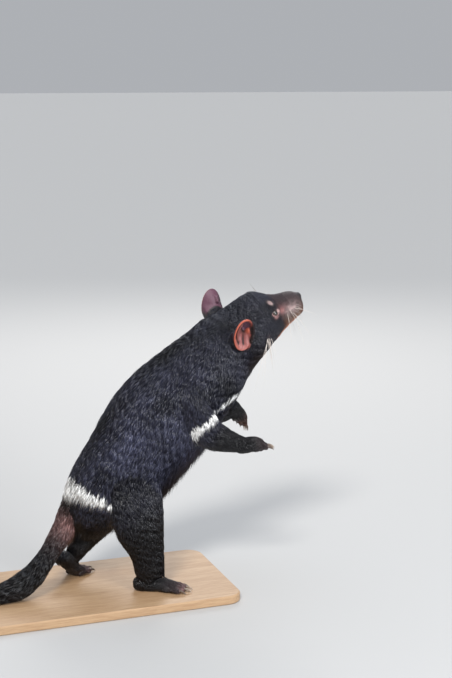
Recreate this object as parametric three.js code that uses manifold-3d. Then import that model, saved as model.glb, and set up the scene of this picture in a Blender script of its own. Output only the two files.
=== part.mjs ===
// A life-size Tasmanian devil, rearing on its hind legs with both forepaws raised, on a thin display base.
// Millimetres, +Z up, +X the way the body faces and +Y its left side.
// The animal is laid out with its midplane at y = 0 and its soles at z = 0. The last lines
// set the whole group down so that the underside of the base is at z = 0 below the middle of the part.
// Every surface is the outer one, at the tips of the short coat.
import * as THREE from 'three';
import { mergeVertices } from 'three/addons/utils/BufferGeometryUtils.js';
import Module from 'manifold-3d';

const wasm = await Module();
wasm.setup();

// Clearances and fineness
const GAP = 0.3;
const MERGE_DISTANCE = 1e-4;
const SMALLEST_RADIUS = 0.6;
const BODY_SIDES = 32;
const LIMB_SIDES = 18;
const PAW_SIDES = 14;
const TOE_SIDES = 7;
const CLAW_SIDES = 5;

// The line of the body, from the rump up to the nape, in the midplane.
// pitch is how steeply the body rises there, in degrees.
const BODY_LINE = [
  { at: [-84, 0, 96], pitch: 66, side: 20, top: 18, bottom: 20 },
  { at: [-77, 0, 110], pitch: 62, side: 40, top: 36, bottom: 38 },
  { at: [-62, 0, 132], pitch: 58, side: 54, top: 53, bottom: 56 },
  { at: [-43, 0, 158], pitch: 55, side: 62, top: 62, bottom: 70 },
  { at: [-20, 0, 184], pitch: 52, side: 66, top: 68, bottom: 80 },
  { at: [6, 0, 210], pitch: 50, side: 69, top: 77, bottom: 84 },
  { at: [31, 0, 237], pitch: 49, side: 72, top: 86, bottom: 83 },
  { at: [58, 0, 267], pitch: 48, side: 74, top: 91, bottom: 84 },
  { at: [86, 0, 297], pitch: 47, side: 73, top: 88, bottom: 86 },
  { at: [115, 0, 328], pitch: 46, side: 68, top: 80, bottom: 81 },
  { at: [147, -2, 362], pitch: 46, side: 61, top: 70, bottom: 75 },
];
const NECK_STARTS = 0.86;

// The head in its own frame: origin between the ears, +X to the nose, turned on the neck by these angles.
const HEAD_AT = [174, 0, 415];
const HEAD_YAW = 2;
const HEAD_PITCH = 22;
const HEAD_ROLL = 17;
const HEAD_LINE = [
  { at: [0, 0, -18.5], pitch: 24, side: 57, top: 58.5, bottom: 71 },
  { at: [26, 0, -12], pitch: 14, side: 58, top: 46, bottom: 63 },
  { at: [50, 0, -9], pitch: 6, side: 57, top: 48, bottom: 53 },
  { at: [72, 0, -8], pitch: 0, side: 51, top: 54, bottom: 43 },
  { at: [90, 0, -9], pitch: 0, side: 42, top: 43, bottom: 36 },
  { at: [106, 0, -10.5], pitch: 0, side: 35, top: 34, bottom: 28 },
  { at: [122, 0, -11], pitch: 0, side: 29, top: 29, bottom: 23 },
  { at: [136, 0, -11], pitch: 0, side: 26, top: 26, bottom: 19 },
  { at: [145, 0, -10], pitch: 0, side: 22, top: 21, bottom: 16 },
  { at: [151, 0, -9], pitch: 0, side: 13, top: 12, bottom: 9 },
];
// Swellings and hollows of the head, made on both sides: place, how far each reaches, how high it rises.
const HEAD_FORMS = [
  { at: [44, 56, -20], reach: 24, rise: 3.5 },
  { at: [84, 31, 27], reach: 11, rise: 3 },
  { at: [104, 27, 9], reach: 9, rise: -2.5 },
  { at: [127, 24, -8], reach: 12, rise: 3 },
  { at: [112, 27, -42], reach: 12, rise: 1.5 },
];

// Mouth: the closed line of the lips, from the front back to its corner, in the head's frame.
const LIP_LINE = [[175, -21], [148, -21], [126, -19], [106, -21], [86, -27], [75, -34]];
const JAW_BACK = [[70, -46], [60, -90], [175, -90]];
const MOUTH_GAP = 0.5;

// Eyes, nose and ears, in the head's frame
const EYE_AT = [85, 34, 14.5];
const EYE_RADIUS = 6.2;
const EYE_OUTWARD = [0.28, 0.86, 0.42];
const LID_RADIUS = 5.8;
const LID_THICKNESS = 2.2;
const LID_LENGTHENED = 1.25;
const LID_FORWARD = 0.55;
const NOSE_AT = [149, 0, 1];
const NOSE_RADII = [7.5, 10.5, 8.5];
const NOSTRIL_AT = [156.2, 5.2, -0.5];
const NOSTRIL_RADII = [3, 2.1, 1.8];
const EAR_BASE = [4, 59, -7];
const EAR_TIP = [22, 64, 51];
const EAR_OPENS = [-0.05, 0.97, 0.05];
const EAR_WIDTH = 38;
const EAR_DEPTH = 13;
const EAR_THICKNESS = 2.4;
const EAR_ROOT_DEPTH = 16;
const EAR_ROOT_TOP = 0.3;
const EAR_ROOT_FULL = 0.7;
const EAR_NARROWING = 0.22;
const EAR_RIM_SHARE = 0.75;
const EAR_MIDDLE_SHARE = 1.25;

// The tail, from inside the rump to its tip on the ground
const TAIL_LINE = [
  { at: [-64, 0, 160], side: 22, top: 20, bottom: 20 },
  { at: [-84, 0, 141], side: 28, top: 25, bottom: 27 },
  { at: [-97, -2, 122], side: 26, top: 24, bottom: 25 },
  { at: [-112, -7, 102], side: 22, top: 21, bottom: 21 },
  { at: [-129, -14, 82], side: 19, top: 18, bottom: 18 },
  { at: [-148, -23, 60], side: 18, top: 18, bottom: 17 },
  { at: [-170, -34, 38], side: 20, top: 21, bottom: 18 },
  { at: [-198, -41, 22], side: 22, top: 22, bottom: 23 },
  { at: [-226, -43, 16], side: 18, top: 18, bottom: 17.5 },
  { at: [-253, -43, 11], side: 13, top: 11, bottom: 12 },
  { at: [-276, -41, 6], side: 6, top: 5, bottom: 7 },
  { at: [-283, -40, 4], side: 2, top: 2, bottom: 4.5 },
];

// Forelegs from shoulder to wrist. fore is the side that faces up and forward.
const FORELEG_RIGHT = [
  { at: [84, -26, 344], side: 12, fore: 18, aft: 18 },
  { at: [93, -50, 318], side: 22, fore: 34, aft: 34 },
  { at: [106, -62, 286], side: 23, fore: 34, aft: 32 },
  { at: [122, -68, 259], side: 21, fore: 31, aft: 26 },
  { at: [145, -69, 247], side: 19, fore: 26, aft: 21 },
  { at: [170, -67, 239], side: 16, fore: 19, aft: 17 },
  { at: [191, -64, 233], side: 13, fore: 12.5, aft: 13 },
];
const FORELEG_LEFT = [
  { at: [86, 26, 346], side: 12, fore: 18, aft: 18 },
  { at: [95, 48, 322], side: 22, fore: 34, aft: 34 },
  { at: [113, 61, 290], side: 23, fore: 32, aft: 32 },
  { at: [138, 66, 262], side: 21, fore: 26, aft: 29 },
  { at: [165, 65, 255], side: 19, fore: 21, aft: 24 },
  { at: [192, 60, 260], side: 16, fore: 17, aft: 18 },
  { at: [213, 54, 266], side: 12.5, fore: 12.5, aft: 12.5 },
];
const FORELEG_FRONT = [-0.3, 0, 1];
const FOREPAWS = {
  right: { forward: [0.98, 0.08, -0.02], dorsal: [0.02, 0, 1], curl: 0.18 },
  left: { forward: [0.6, 0.34, -0.72], dorsal: [0.74, 0.1, 0.66], curl: 0.25 },
};
// The palm beyond the wrist, in the paw's frame, and the toes. outer is how much each toe further from
// the middle one is set back, shortened and thinned, and how much shorter its claw is.
const PALM_LINE = [
  { at: [12.2, 0, 0], side: 14.5, top: 10.5, bottom: 11 },
  { at: [23, 0, -1], side: 16.5, top: 8.5, bottom: 9.5 },
  { at: [29.7, 0, -2], side: 13, top: 5, bottom: 6 },
];
const FORE_TOES = {
  root: 25.6,
  height: -1.5,
  spread: [-13, -6.6, 0, 6.6, 12.6],
  length: 13,
  radius: 4.6,
  claw: 15,
  outer: { back: 2.4, shorter: 1, thinner: 0.25, claw: 1.2 },
};
const TOE_FAN = 0.012;

// Hind legs from hip to ankle
const HIND_LEG_RIGHT = [
  { at: [-20, -26, 196], side: 16, fore: 26, aft: 26 },
  { at: [-12, -46, 165], side: 28, fore: 56, aft: 42 },
  { at: [-3, -58, 128], side: 31, fore: 52, aft: 43 },
  { at: [8, -64, 93], side: 28, fore: 38, aft: 40 },
  { at: [15, -66, 63], side: 23, fore: 30, aft: 30 },
  { at: [18, -66, 35], side: 20, fore: 26, aft: 26 },
  { at: [19, -66, 22], side: 18, fore: 25, aft: 24, along: [0, 0, -1] },
];
const HIND_LEG_LEFT = [
  { at: [-26, 26, 190], side: 16, fore: 26, aft: 26 },
  { at: [-22, 44, 160], side: 28, fore: 50, aft: 42 },
  { at: [-24, 50, 126], side: 30, fore: 46, aft: 42 },
  { at: [-36, 49, 98], side: 27, fore: 34, aft: 31 },
  { at: [-56, 43, 76], side: 22, fore: 25, aft: 24 },
  { at: [-78, 34, 56], side: 17, fore: 20, aft: 19 },
];
const LEG_FRONT = [1, 0, 0.3];
const HIND_FEET = {
  right: { heel: [-6, -56, 0], forward: [0.895, -0.446, 0], raised: 0 },
  left: { heel: [-126, 6, 0], forward: [0.76, 0.65, 0], raised: 43 },
};
// The foot from the heel to the toes, in its own frame. Sections behind the ball are tipped up by raised.
const BALL_AT = 60.2;
const SOLE_LINE = [
  { at: [1, 0, 9], side: 7, top: 6, bottom: 6 },
  { at: [7, 0, 10], side: 12, top: 11, bottom: 10 },
  { at: [22, 0, 11], side: 14.5, top: 13, bottom: 12 },
  { at: [40, 0, 10], side: 14.5, top: 12, bottom: 11 },
  { at: [54, 0, 9], side: 17, top: 10, bottom: 10 },
  { at: [70, 0, 7.5], side: 16, top: 6, bottom: 8 },
];
const ANKLE_END = { at: [24, 0, 10], side: 11, fore: 14, aft: 12 };
const HIND_TOES = {
  root: 66,
  height: 6.5,
  spread: [-13.5, -4.6, 4.4, 13],
  length: 20,
  radius: 5.6,
  claw: 13,
  outer: { back: 4, shorter: 3, thinner: 0.5, claw: 1 },
};
const HIND_TOE_DROP = 1.5;

// The display base
const BASE_THICKNESS = 15;
const BASE_SPAN = { back: -300, front: 160, right: -142, left: 104 };
const BASE_CORNER = 28;
const BASE_BEVEL = 2;

// Colours of the coat, skin and stand
const COAT = new THREE.MeshStandardMaterial({ color: 0x1b1a1e, roughness: 0.75, metalness: 0 });
const BARE_SKIN = new THREE.MeshStandardMaterial({ color: 0x6a4540, roughness: 0.6, metalness: 0 });
const EAR_SKIN = new THREE.MeshStandardMaterial({ color: 0xa05548, roughness: 0.6, metalness: 0 });
const NOSE_SKIN = new THREE.MeshStandardMaterial({ color: 0x241c1c, roughness: 0.4, metalness: 0 });
const EYE_GLOSS = new THREE.MeshStandardMaterial({ color: 0x0c0808, roughness: 0.08, metalness: 0 });
const BOARD = new THREE.MeshStandardMaterial({ color: 0xb89a74, roughness: 0.5, metalness: 0 });

const vector = (list) => new THREE.Vector3(...list);
const { degToRad: radians, lerp, smoothstep } = THREE.MathUtils;
const mirrored = ([x, y, z], sign) => [x, y * sign, z];

// A closed geometry as a solid, and a solid back as a geometry
function solidOf(geometry) {
  const bare = new THREE.BufferGeometry();
  bare.setAttribute('position', geometry.getAttribute('position'));
  bare.setIndex(geometry.index);
  const merged = mergeVertices(bare, MERGE_DISTANCE);
  return new wasm.Manifold(new wasm.Mesh({
    numProp: 3,
    vertProperties: new Float32Array(merged.getAttribute('position').array),
    triVerts: new Uint32Array(merged.index.array),
  }));
}

function geometryOf(solid) {
  const { vertProperties, triVerts, numProp } = solid.getMesh();
  const geometry = new THREE.BufferGeometry();
  const corners = new Float32Array((vertProperties.length / numProp) * 3);
  for (let i = 0; i < corners.length / 3; i += 1) {
    corners.set(vertProperties.subarray(i * numProp, i * numProp + 3), i * 3);
  }
  geometry.setAttribute('position', new THREE.BufferAttribute(corners, 3));
  geometry.setIndex(new THREE.BufferAttribute(new Uint32Array(triVerts), 1));
  return geometry;
}

const union = (solids) => solids.reduce((whole, piece) => whole.add(piece));
const cutBy = (solid, tools) => tools.reduce((rest, tool) => rest.subtract(tool), solid);

function largestPiece(solid) {
  return solid.decompose().reduce((best, piece) => (piece.volume() > best.volume() ? piece : best));
}

// A smooth run through stations. Each gives the middle of a section, its half width and its two
// half heights, and may give the direction that the section faces and the way its top points.
function trackThrough(stations, topwards) {
  const centres = stations.map(({ at }) => vector(at));
  const radii = stations.map(({ side, top, bottom, fore, aft }) => (
    new THREE.Vector3(side, top ?? fore, bottom ?? aft)));
  const middle = new THREE.CatmullRomCurve3(centres, false, 'catmullrom', 0.5);
  const size = new THREE.CatmullRomCurve3(radii, false, 'catmullrom', 0.5);
  const last = stations.length - 1;
  const facings = stations.map((station, i) => {
    if (station.along) {
      return vector(station.along).normalize();
    }
    if (station.pitch !== undefined) {
      return new THREE.Vector3(Math.cos(radians(station.pitch)), 0, Math.sin(radians(station.pitch)));
    }
    return middle.getTangent(i / last);
  });
  const tops = stations.map((station) => vector(station.up ?? topwards));
  const facing = new THREE.CatmullRomCurve3(facings, false, 'catmullrom', 0.5);
  const top = new THREE.CatmullRomCurve3(tops, false, 'catmullrom', 0.5);
  return (t) => {
    const along = facing.getPoint(t).normalize();
    const left = top.getPoint(t).cross(along).normalize();
    const up = new THREE.Vector3().crossVectors(along, left);
    return { at: middle.getPoint(t), along, left, up, size: size.getPoint(t) };
  };
}

// A closed tube along a track. from and to are the share of the track that it takes, grow makes it
// fatter all over, trims shorten its ends, and forms raises or lowers the surface at a point.
function loft(track, { sides, steps, from = 0, to = 1, grow = 0, trims = [0, 0], forms = () => 0 }) {
  const tube = new THREE.CylinderGeometry(1, 1, 1, sides, steps);
  const corners = tube.getAttribute('position');
  for (let i = 0; i < corners.count; i += 1) {
    const share = corners.getY(i) + 0.5;
    const { at, along, left, up, size } = track(from + (to - from) * share);
    const across = corners.getX(i);
    const rise = -corners.getZ(i);
    const width = Math.max(size.x, SMALLEST_RADIUS) + grow;
    const height = Math.max(rise > 0 ? size.y : size.z, SMALLEST_RADIUS) + grow;
    const outward = left.clone().multiplyScalar(across * width).addScaledVector(up, rise * height);
    const point = at.clone().add(outward);
    if (outward.lengthSq() > 0) {
      point.addScaledVector(outward.normalize(), forms(point));
    }
    if (share === 0) {
      point.addScaledVector(along, trims[0] - grow);
    }
    if (share === 1) {
      point.addScaledVector(along, grow - trims[1]);
    }
    corners.setXYZ(i, point.x, point.y, point.z);
  }
  return solidOf(tube);
}

// The rise of the surface at a point, from a list of swellings that are made on both sides
function risesOf(swellings) {
  return (point) => swellings.reduce((sum, { at, reach, rise }) => {
    const near = Math.hypot(point.x - at[0], Math.abs(point.y) - at[1], point.z - at[2]);
    return sum + rise * Math.exp(-((near / reach) ** 2));
  }, 0);
}

function ellipsoid(at, radii, turn = new THREE.Quaternion()) {
  const ball = new THREE.SphereGeometry(1, 14, 9).scale(...radii);
  ball.applyQuaternion(turn);
  return solidOf(ball.translate(...at));
}

// The frame of a foot or paw: forward along it, dorsal its upper side
function basisOf(at, forward, dorsal) {
  const x = vector(forward).normalize();
  const y = new THREE.Vector3().crossVectors(vector(dorsal), x).normalize();
  const z = new THREE.Vector3().crossVectors(x, y);
  return new THREE.Matrix4().makeBasis(x, y, z).setPosition(...at);
}

function moved(stations, matrix) {
  const turn = new THREE.Matrix4().extractRotation(matrix);
  return stations.map((station) => {
    const result = { ...station, at: vector(station.at).applyMatrix4(matrix).toArray() };
    if (station.along) {
      result.along = vector(station.along).applyMatrix4(turn).toArray();
    }
    return result;
  });
}

// One toe and its claw, in the frame of the foot: root is where the toe leaves it, and drop is how
// far the tip is lower than the root.
function toe(frame, { root, turn, length, radius, drop, claw }) {
  const dorsal = new THREE.Vector3(0, 0, 1).transformDirection(frame).toArray();
  const ahead = (far, lower) => [
    root[0] + far * Math.cos(turn), root[1] + far * Math.sin(turn), root[2] - lower];
  const flesh = [
    { at: ahead(-radius * 2.4, 0), side: radius * 0.9, top: radius * 0.9, bottom: radius * 0.9 },
    { at: ahead(length * 0.35, 0), side: radius, top: radius, bottom: radius },
    { at: ahead(length * 0.8, drop * 0.7), side: radius, top: radius * 0.95, bottom: radius },
    { at: ahead(length, drop), side: radius * 0.55, top: radius * 0.5, bottom: radius * 0.6 },
  ];
  const nail = [
    { at: ahead(length * 0.62, drop * 0.35), side: 1.9, top: 2.2, bottom: 2.2 },
    { at: ahead(length + claw * 0.2, drop * 0.5), side: 1.8, top: 2.2, bottom: 2.2 },
    { at: ahead(length + claw * 0.7, drop + claw * 0.12), side: 1.2, top: 1.4, bottom: 1.4 },
    { at: ahead(length + claw, drop + claw * 0.3), side: 0.4, top: 0.4, bottom: 0.4 },
  ];
  return loft(trackThrough(moved(flesh, frame), dorsal), { sides: TOE_SIDES, steps: 4 })
    .add(loft(trackThrough(moved(nail, frame), dorsal), { sides: CLAW_SIDES, steps: 3 }));
}

// All the toes of a foot or paw
function toesOf(frame, { root, height, spread, length, radius, claw, outer }, drop) {
  return spread.map((y, i) => {
    const fromMiddle = Math.floor(Math.abs(i - (spread.length - 1) / 2));
    return toe(frame, {
      root: [root - fromMiddle * outer.back, y, height],
      turn: y * TOE_FAN,
      length: length - fromMiddle * outer.shorter,
      radius: radius - fromMiddle * outer.thinner,
      claw: claw - fromMiddle * outer.claw,
      drop,
    });
  });
}

// Body, neck and head
const headTurn = new THREE.Matrix4().makeRotationZ(radians(HEAD_YAW))
  .multiply(new THREE.Matrix4().makeRotationY(-radians(HEAD_PITCH)))
  .multiply(new THREE.Matrix4().makeRotationX(radians(HEAD_ROLL)));
const headMatrix = new THREE.Matrix4().makeTranslation(...HEAD_AT).multiply(headTurn);
const UPWARD = [0, 0, 1];
const nape = HEAD_LINE[0];
const napeOnBody = {
  ...nape,
  at: vector(nape.at).applyMatrix4(headMatrix).toArray(),
  along: new THREE.Vector3(Math.cos(radians(nape.pitch)), 0, Math.sin(radians(nape.pitch)))
    .applyMatrix4(headTurn).toArray(),
  up: vector(UPWARD).applyMatrix4(headTurn).toArray(),
};
const bodyTrack = trackThrough([...BODY_LINE, napeOnBody], UPWARD);
const torsoShape = { sides: BODY_SIDES, steps: 24, to: NECK_STARTS };
const neckShape = { sides: BODY_SIDES, steps: 6, from: NECK_STARTS };
const torso = loft(bodyTrack, torsoShape);
const neck = loft(bodyTrack, { ...neckShape, trims: [GAP, GAP] });
const torsoGrown = loft(bodyTrack, { ...torsoShape, grow: GAP });
const neckGrown = loft(bodyTrack, { ...neckShape, grow: GAP });

const headTrack = trackThrough(HEAD_LINE, UPWARD);
const headShape = { sides: BODY_SIDES, steps: 24, forms: risesOf(HEAD_FORMS) };
const wholeHead = loft(headTrack, headShape);
const wholeHeadGrown = loft(headTrack, { ...headShape, grow: GAP });

// Everything below the lips, out past both sides of the head. grow moves its edge outward.
function jawSpace(grow) {
  const outline = new THREE.Shape();
  LIP_LINE.forEach(([x, z], i) => (i ? outline.lineTo(x - grow, z + grow) : outline.moveTo(x, z + grow)));
  JAW_BACK.forEach(([x, z]) => outline.lineTo(x - grow, z));
  const wall = new THREE.ExtrudeGeometry(outline, { depth: 160, bevelEnabled: false });
  wall.rotateX(Math.PI / 2).translate(0, 80, 0);
  return solidOf(wall);
}

const eyes = {};
const ears = {};
const lids = [];
const sockets = [];
const SIDES = { left: 1, right: -1 };
for (const [side, sign] of Object.entries(SIDES)) {
  const at = mirrored(EYE_AT, sign);
  const outward = vector(mirrored(EYE_OUTWARD, sign)).normalize();
  const turn = new THREE.Quaternion().setFromUnitVectors(new THREE.Vector3(0, 0, 1), outward);
  eyes[side] = ellipsoid(at, [EYE_RADIUS, EYE_RADIUS, EYE_RADIUS]);
  sockets.push(ellipsoid(at, Array(3).fill(EYE_RADIUS + GAP)));
  const ring = new THREE.TorusGeometry(LID_RADIUS, LID_THICKNESS, 6, 14).scale(LID_LENGTHENED, 1, 1);
  ring.applyQuaternion(turn).translate(...at);
  ring.translate(...outward.multiplyScalar(EYE_RADIUS * LID_FORWARD).toArray());
  lids.push(solidOf(ring));
}

// An ear: a thin oval cup, thickened behind its lower part into a root that reaches the head.
// The poles of the ball that it is shaped from are the middles of its hollow and of its back.
function ear(sign) {
  const base = vector(mirrored(EAR_BASE, sign));
  const tip = vector(mirrored(EAR_TIP, sign));
  const rise = tip.clone().sub(base);
  const halfHeight = rise.length() / 2;
  const up = rise.normalize();
  const opens = vector(mirrored(EAR_OPENS, sign));
  opens.addScaledVector(up, -opens.dot(up)).normalize();
  const across = new THREE.Vector3().crossVectors(up, opens);
  const centre = base.clone().add(tip).multiplyScalar(0.5);
  const cup = new THREE.SphereGeometry(1, 20, 12);
  const corners = cup.getAttribute('position');
  for (let i = 0; i < corners.count; i += 1) {
    const x = corners.getX(i);
    const y = corners.getZ(i);
    const fromMiddle = Math.min(Math.hypot(x, y), 1);
    const inward = 1 - fromMiddle ** 2;
    const narrowed = 1 - EAR_NARROWING * Math.max(0, -y);
    const front = corners.getY(i);
    const wall = EAR_THICKNESS * lerp(EAR_RIM_SHARE, EAR_MIDDLE_SHARE, inward) * front;
    const rooted = smoothstep(y, -EAR_ROOT_TOP, EAR_ROOT_FULL) * Math.min(1, Math.max(0, -2 * front));
    const point = centre.clone()
      .addScaledVector(across, (x * narrowed * EAR_WIDTH) / 2)
      .addScaledVector(up, -y * halfHeight)
      .addScaledVector(opens, wall - EAR_DEPTH * inward - rooted * EAR_ROOT_DEPTH);
    corners.setXYZ(i, point.x, point.y, point.z);
  }
  return solidOf(cup);
}
for (const [side, sign] of Object.entries(SIDES)) {
  ears[side] = largestPiece(ear(sign).subtract(wholeHeadGrown));
}

const headWithLids = cutBy(union([wholeHead, ...lids]), sockets);
const head = largestPiece(headWithLids.subtract(jawSpace(MOUTH_GAP)));
const lowerJaw = largestPiece(wholeHead.intersect(jawSpace(0)));
const nostrils = Object.values(SIDES).map((sign) => ellipsoid(mirrored(NOSTRIL_AT, sign), NOSTRIL_RADII));
const nose = largestPiece(cutBy(ellipsoid(NOSE_AT, NOSE_RADII), [wholeHeadGrown, ...nostrils]));

// Ground plane: everything under the soles is cut off
const ground = solidOf(new THREE.BoxGeometry(1200, 800, 200).translate(0, 0, -100));

// Tail
const tailTrack = trackThrough(TAIL_LINE, [0.5, 0, 1]);
const tailShape = { sides: LIMB_SIDES, steps: 20 };
const tail = largestPiece(cutBy(loft(tailTrack, tailShape), [torsoGrown, ground]));
const tailGrown = loft(tailTrack, { ...tailShape, grow: GAP });

// Forelegs and forepaws
function foreleg(stations) {
  const track = trackThrough(stations, FORELEG_FRONT);
  const shape = { sides: LIMB_SIDES, steps: 13 };
  const solid = largestPiece(cutBy(loft(track, shape), [torsoGrown, neckGrown]));
  return { solid, grown: loft(track, { ...shape, grow: GAP }), end: track(1) };
}

function forepaw(leg, { forward, dorsal, curl }) {
  const { at, along, size, up } = leg.end;
  const wrist = at.clone().addScaledVector(along, GAP);
  const frame = basisOf(wrist.toArray(), forward, dorsal);
  const palm = [
    { at: wrist.toArray(), along: along.toArray(), side: size.x, top: size.y, bottom: size.z },
    ...moved(PALM_LINE, frame),
  ];
  const pieces = [
    loft(trackThrough(palm, up.toArray()), { sides: PAW_SIDES, steps: 6 }),
    ...toesOf(frame, FORE_TOES, FORE_TOES.length * curl),
  ];
  return largestPiece(union(pieces).subtract(leg.grown));
}

// Hind legs and feet
function hindLeg(stations) {
  const track = trackThrough(stations, LEG_FRONT);
  const shape = { sides: LIMB_SIDES, steps: 15 };
  const solid = largestPiece(cutBy(loft(track, shape), [torsoGrown, tailGrown, ground]));
  return { solid, grown: loft(track, { ...shape, grow: GAP }), end: track(1) };
}

// raised tips the part of the foot behind the ball up by that many degrees
function hindFoot(leg, { heel, forward, raised }) {
  const { at, along, size, up } = leg.end;
  const frame = basisOf([heel[0], heel[1], 0], forward, UPWARD);
  const lean = radians(raised);
  const tipped = ({ at: [x, , z], ...section }) => {
    const behind = Math.max(0, BALL_AT - x);
    const turned = behind > 0 ? lean : 0;
    return {
      ...section,
      at: [
        x + behind * (1 - Math.cos(turned)) - z * Math.sin(turned) * 0.5,
        0,
        z + behind * Math.sin(turned),
      ],
    };
  };
  const sole = moved(SOLE_LINE.map(tipped), frame);
  const ankle = at.clone().addScaledVector(along, GAP);
  const stub = [
    { at: ankle.toArray(), side: size.x, fore: size.y, aft: size.z },
    ...moved([tipped(ANKLE_END)], frame),
  ].map((station) => ({ ...station, along: along.toArray() }));
  const pieces = [
    loft(trackThrough(sole, UPWARD), { sides: PAW_SIDES, steps: 10 }),
    loft(trackThrough(stub, up.toArray()), { sides: LIMB_SIDES, steps: 2 }),
    ...toesOf(frame, HIND_TOES, HIND_TOE_DROP),
  ];
  return largestPiece(cutBy(union(pieces), [leg.grown, ground]));
}

const forelegs = { right: foreleg(FORELEG_RIGHT), left: foreleg(FORELEG_LEFT) };
const hindLegs = { right: hindLeg(HIND_LEG_RIGHT), left: hindLeg(HIND_LEG_LEFT) };

// Display base: a thin board with round corners, a gap below the soles
function displayBase() {
  const { back, front, right, left } = BASE_SPAN;
  const outline = new THREE.Shape();
  const turns = [
    [front, left, 0], [back, left, 90], [back, right, 180], [front, right, 270]];
  for (const [x, y, start] of turns) {
    const cx = x - Math.sign(x) * BASE_CORNER;
    const cy = y - Math.sign(y) * BASE_CORNER;
    outline.absarc(cx, cy, BASE_CORNER - BASE_BEVEL, radians(start), radians(start + 90), false);
  }
  const board = new THREE.ExtrudeGeometry(outline, {
    depth: BASE_THICKNESS - 2 * BASE_BEVEL,
    bevelThickness: BASE_BEVEL,
    bevelSize: BASE_BEVEL,
    bevelSegments: 1,
    curveSegments: 5,
  });
  return solidOf(board.translate(0, 0, -BASE_THICKNESS - GAP + BASE_BEVEL));
}

// Scene graph
function node(name, solid, material) {
  const mesh = new THREE.Mesh(geometryOf(solid), material);
  mesh.name = name;
  return mesh;
}

const headGroup = new THREE.Group();
headGroup.position.set(...HEAD_AT);
headGroup.quaternion.setFromRotationMatrix(headTurn);
headGroup.add(
  node('head', head, COAT),
  node('lower_jaw', lowerJaw, COAT),
  node('nose', nose, NOSE_SKIN),
  node('eye_left', eyes.left, EYE_GLOSS),
  node('eye_right', eyes.right, EYE_GLOSS),
  node('ear_left', ears.left, EAR_SKIN),
  node('ear_right', ears.right, EAR_SKIN),
);

const devil = new THREE.Group();
devil.add(
  headGroup,
  node('torso', torso, COAT),
  node('neck', neck, COAT),
  node('tail', tail, COAT),
  node('foreleg_left', forelegs.left.solid, COAT),
  node('foreleg_right', forelegs.right.solid, COAT),
  node('forepaw_left', forepaw(forelegs.left, FOREPAWS.left), BARE_SKIN),
  node('forepaw_right', forepaw(forelegs.right, FOREPAWS.right), BARE_SKIN),
  node('hind_leg_left', hindLegs.left.solid, COAT),
  node('hind_leg_right', hindLegs.right.solid, COAT),
  node('hind_foot_left', hindFoot(hindLegs.left, HIND_FEET.left), BARE_SKIN),
  node('hind_foot_right', hindFoot(hindLegs.right, HIND_FEET.right), BARE_SKIN),
  node('stand_base', displayBase(), BOARD),
);

// Set the group down: the underside of the base at z = 0, below the middle of the whole
const whole = new THREE.Group();
whole.add(devil);
whole.updateMatrixWorld(true);
const bounds = new THREE.Box3().setFromObject(whole, true);
const middle = bounds.getCenter(new THREE.Vector3());
devil.position.set(-middle.x, -middle.y, -bounds.min.z);

export default whole;
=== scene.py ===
"""Looks of a life-size Tasmanian devil, rearing on a thin wooden base: skin, coat, eyes, claws and whiskers."""
import logging
import math
from collections.abc import Callable
from dataclasses import astuple, dataclass, field
from enum import Enum, IntEnum

import bmesh
import bpy
import numpy as np
from mathutils import Matrix, Vector
from mathutils.bvhtree import BVHTree
from mathutils.kdtree import KDTree


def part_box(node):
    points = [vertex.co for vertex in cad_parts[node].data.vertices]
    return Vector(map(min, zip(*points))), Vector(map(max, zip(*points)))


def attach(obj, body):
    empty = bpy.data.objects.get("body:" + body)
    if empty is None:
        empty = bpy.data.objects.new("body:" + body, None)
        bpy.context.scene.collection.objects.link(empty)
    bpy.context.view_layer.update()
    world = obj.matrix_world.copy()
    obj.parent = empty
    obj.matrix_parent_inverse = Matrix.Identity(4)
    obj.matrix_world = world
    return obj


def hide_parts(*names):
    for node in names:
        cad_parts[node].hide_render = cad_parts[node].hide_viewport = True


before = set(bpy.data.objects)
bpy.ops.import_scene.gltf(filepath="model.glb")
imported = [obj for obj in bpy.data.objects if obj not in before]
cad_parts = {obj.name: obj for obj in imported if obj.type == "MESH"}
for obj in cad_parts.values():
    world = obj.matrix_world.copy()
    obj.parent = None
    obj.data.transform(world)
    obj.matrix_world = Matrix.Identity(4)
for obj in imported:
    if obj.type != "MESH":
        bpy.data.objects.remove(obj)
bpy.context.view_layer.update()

LOG = logging.getLogger("devil")
MM = 0.001
SEED = 41
IMAGE = (452, 678)
BODY = "root"
TINT = "Tint"
GLOSS = "Gloss"
SIDES = {"right": -1.0, "left": 1.0}


def unit(rows: np.ndarray) -> np.ndarray:
    """Rows scaled to length 1."""
    return rows / np.maximum(np.linalg.norm(rows, axis=-1, keepdims=True), 1e-9)


def smooth(low: float, high: float, values: np.ndarray) -> np.ndarray:
    """A soft step from 0 at low to 1 at high."""
    t = np.clip((values - low) / (high - low), 0.0, 1.0)
    return t * t * (3.0 - 2.0 * t)


def bump_at(distance: np.ndarray, reach: float) -> np.ndarray:
    """A soft bell of height 1 at distance 0."""
    return np.exp(-((distance / reach) ** 2))


def wobble(points: np.ndarray, scale: float, seed: int) -> np.ndarray:
    """Smooth noise in about -1..1 at points, made of a few sine waves of one wavelength.

    Args:
        points: places in millimetres, one row each.
        scale: the wavelength in millimetres.
        seed: picks the waves.

    Returns:
        One value for each point.
    """
    rng = np.random.default_rng(seed)
    total = np.zeros(len(points))
    for _ in range(6):
        wave = unit(rng.normal(size=3)) * (2.0 * math.pi / scale) * rng.uniform(0.6, 1.5)
        total += np.sin(points @ wave + rng.uniform(0.0, 2.0 * math.pi))
    return total / 3.0


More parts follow.
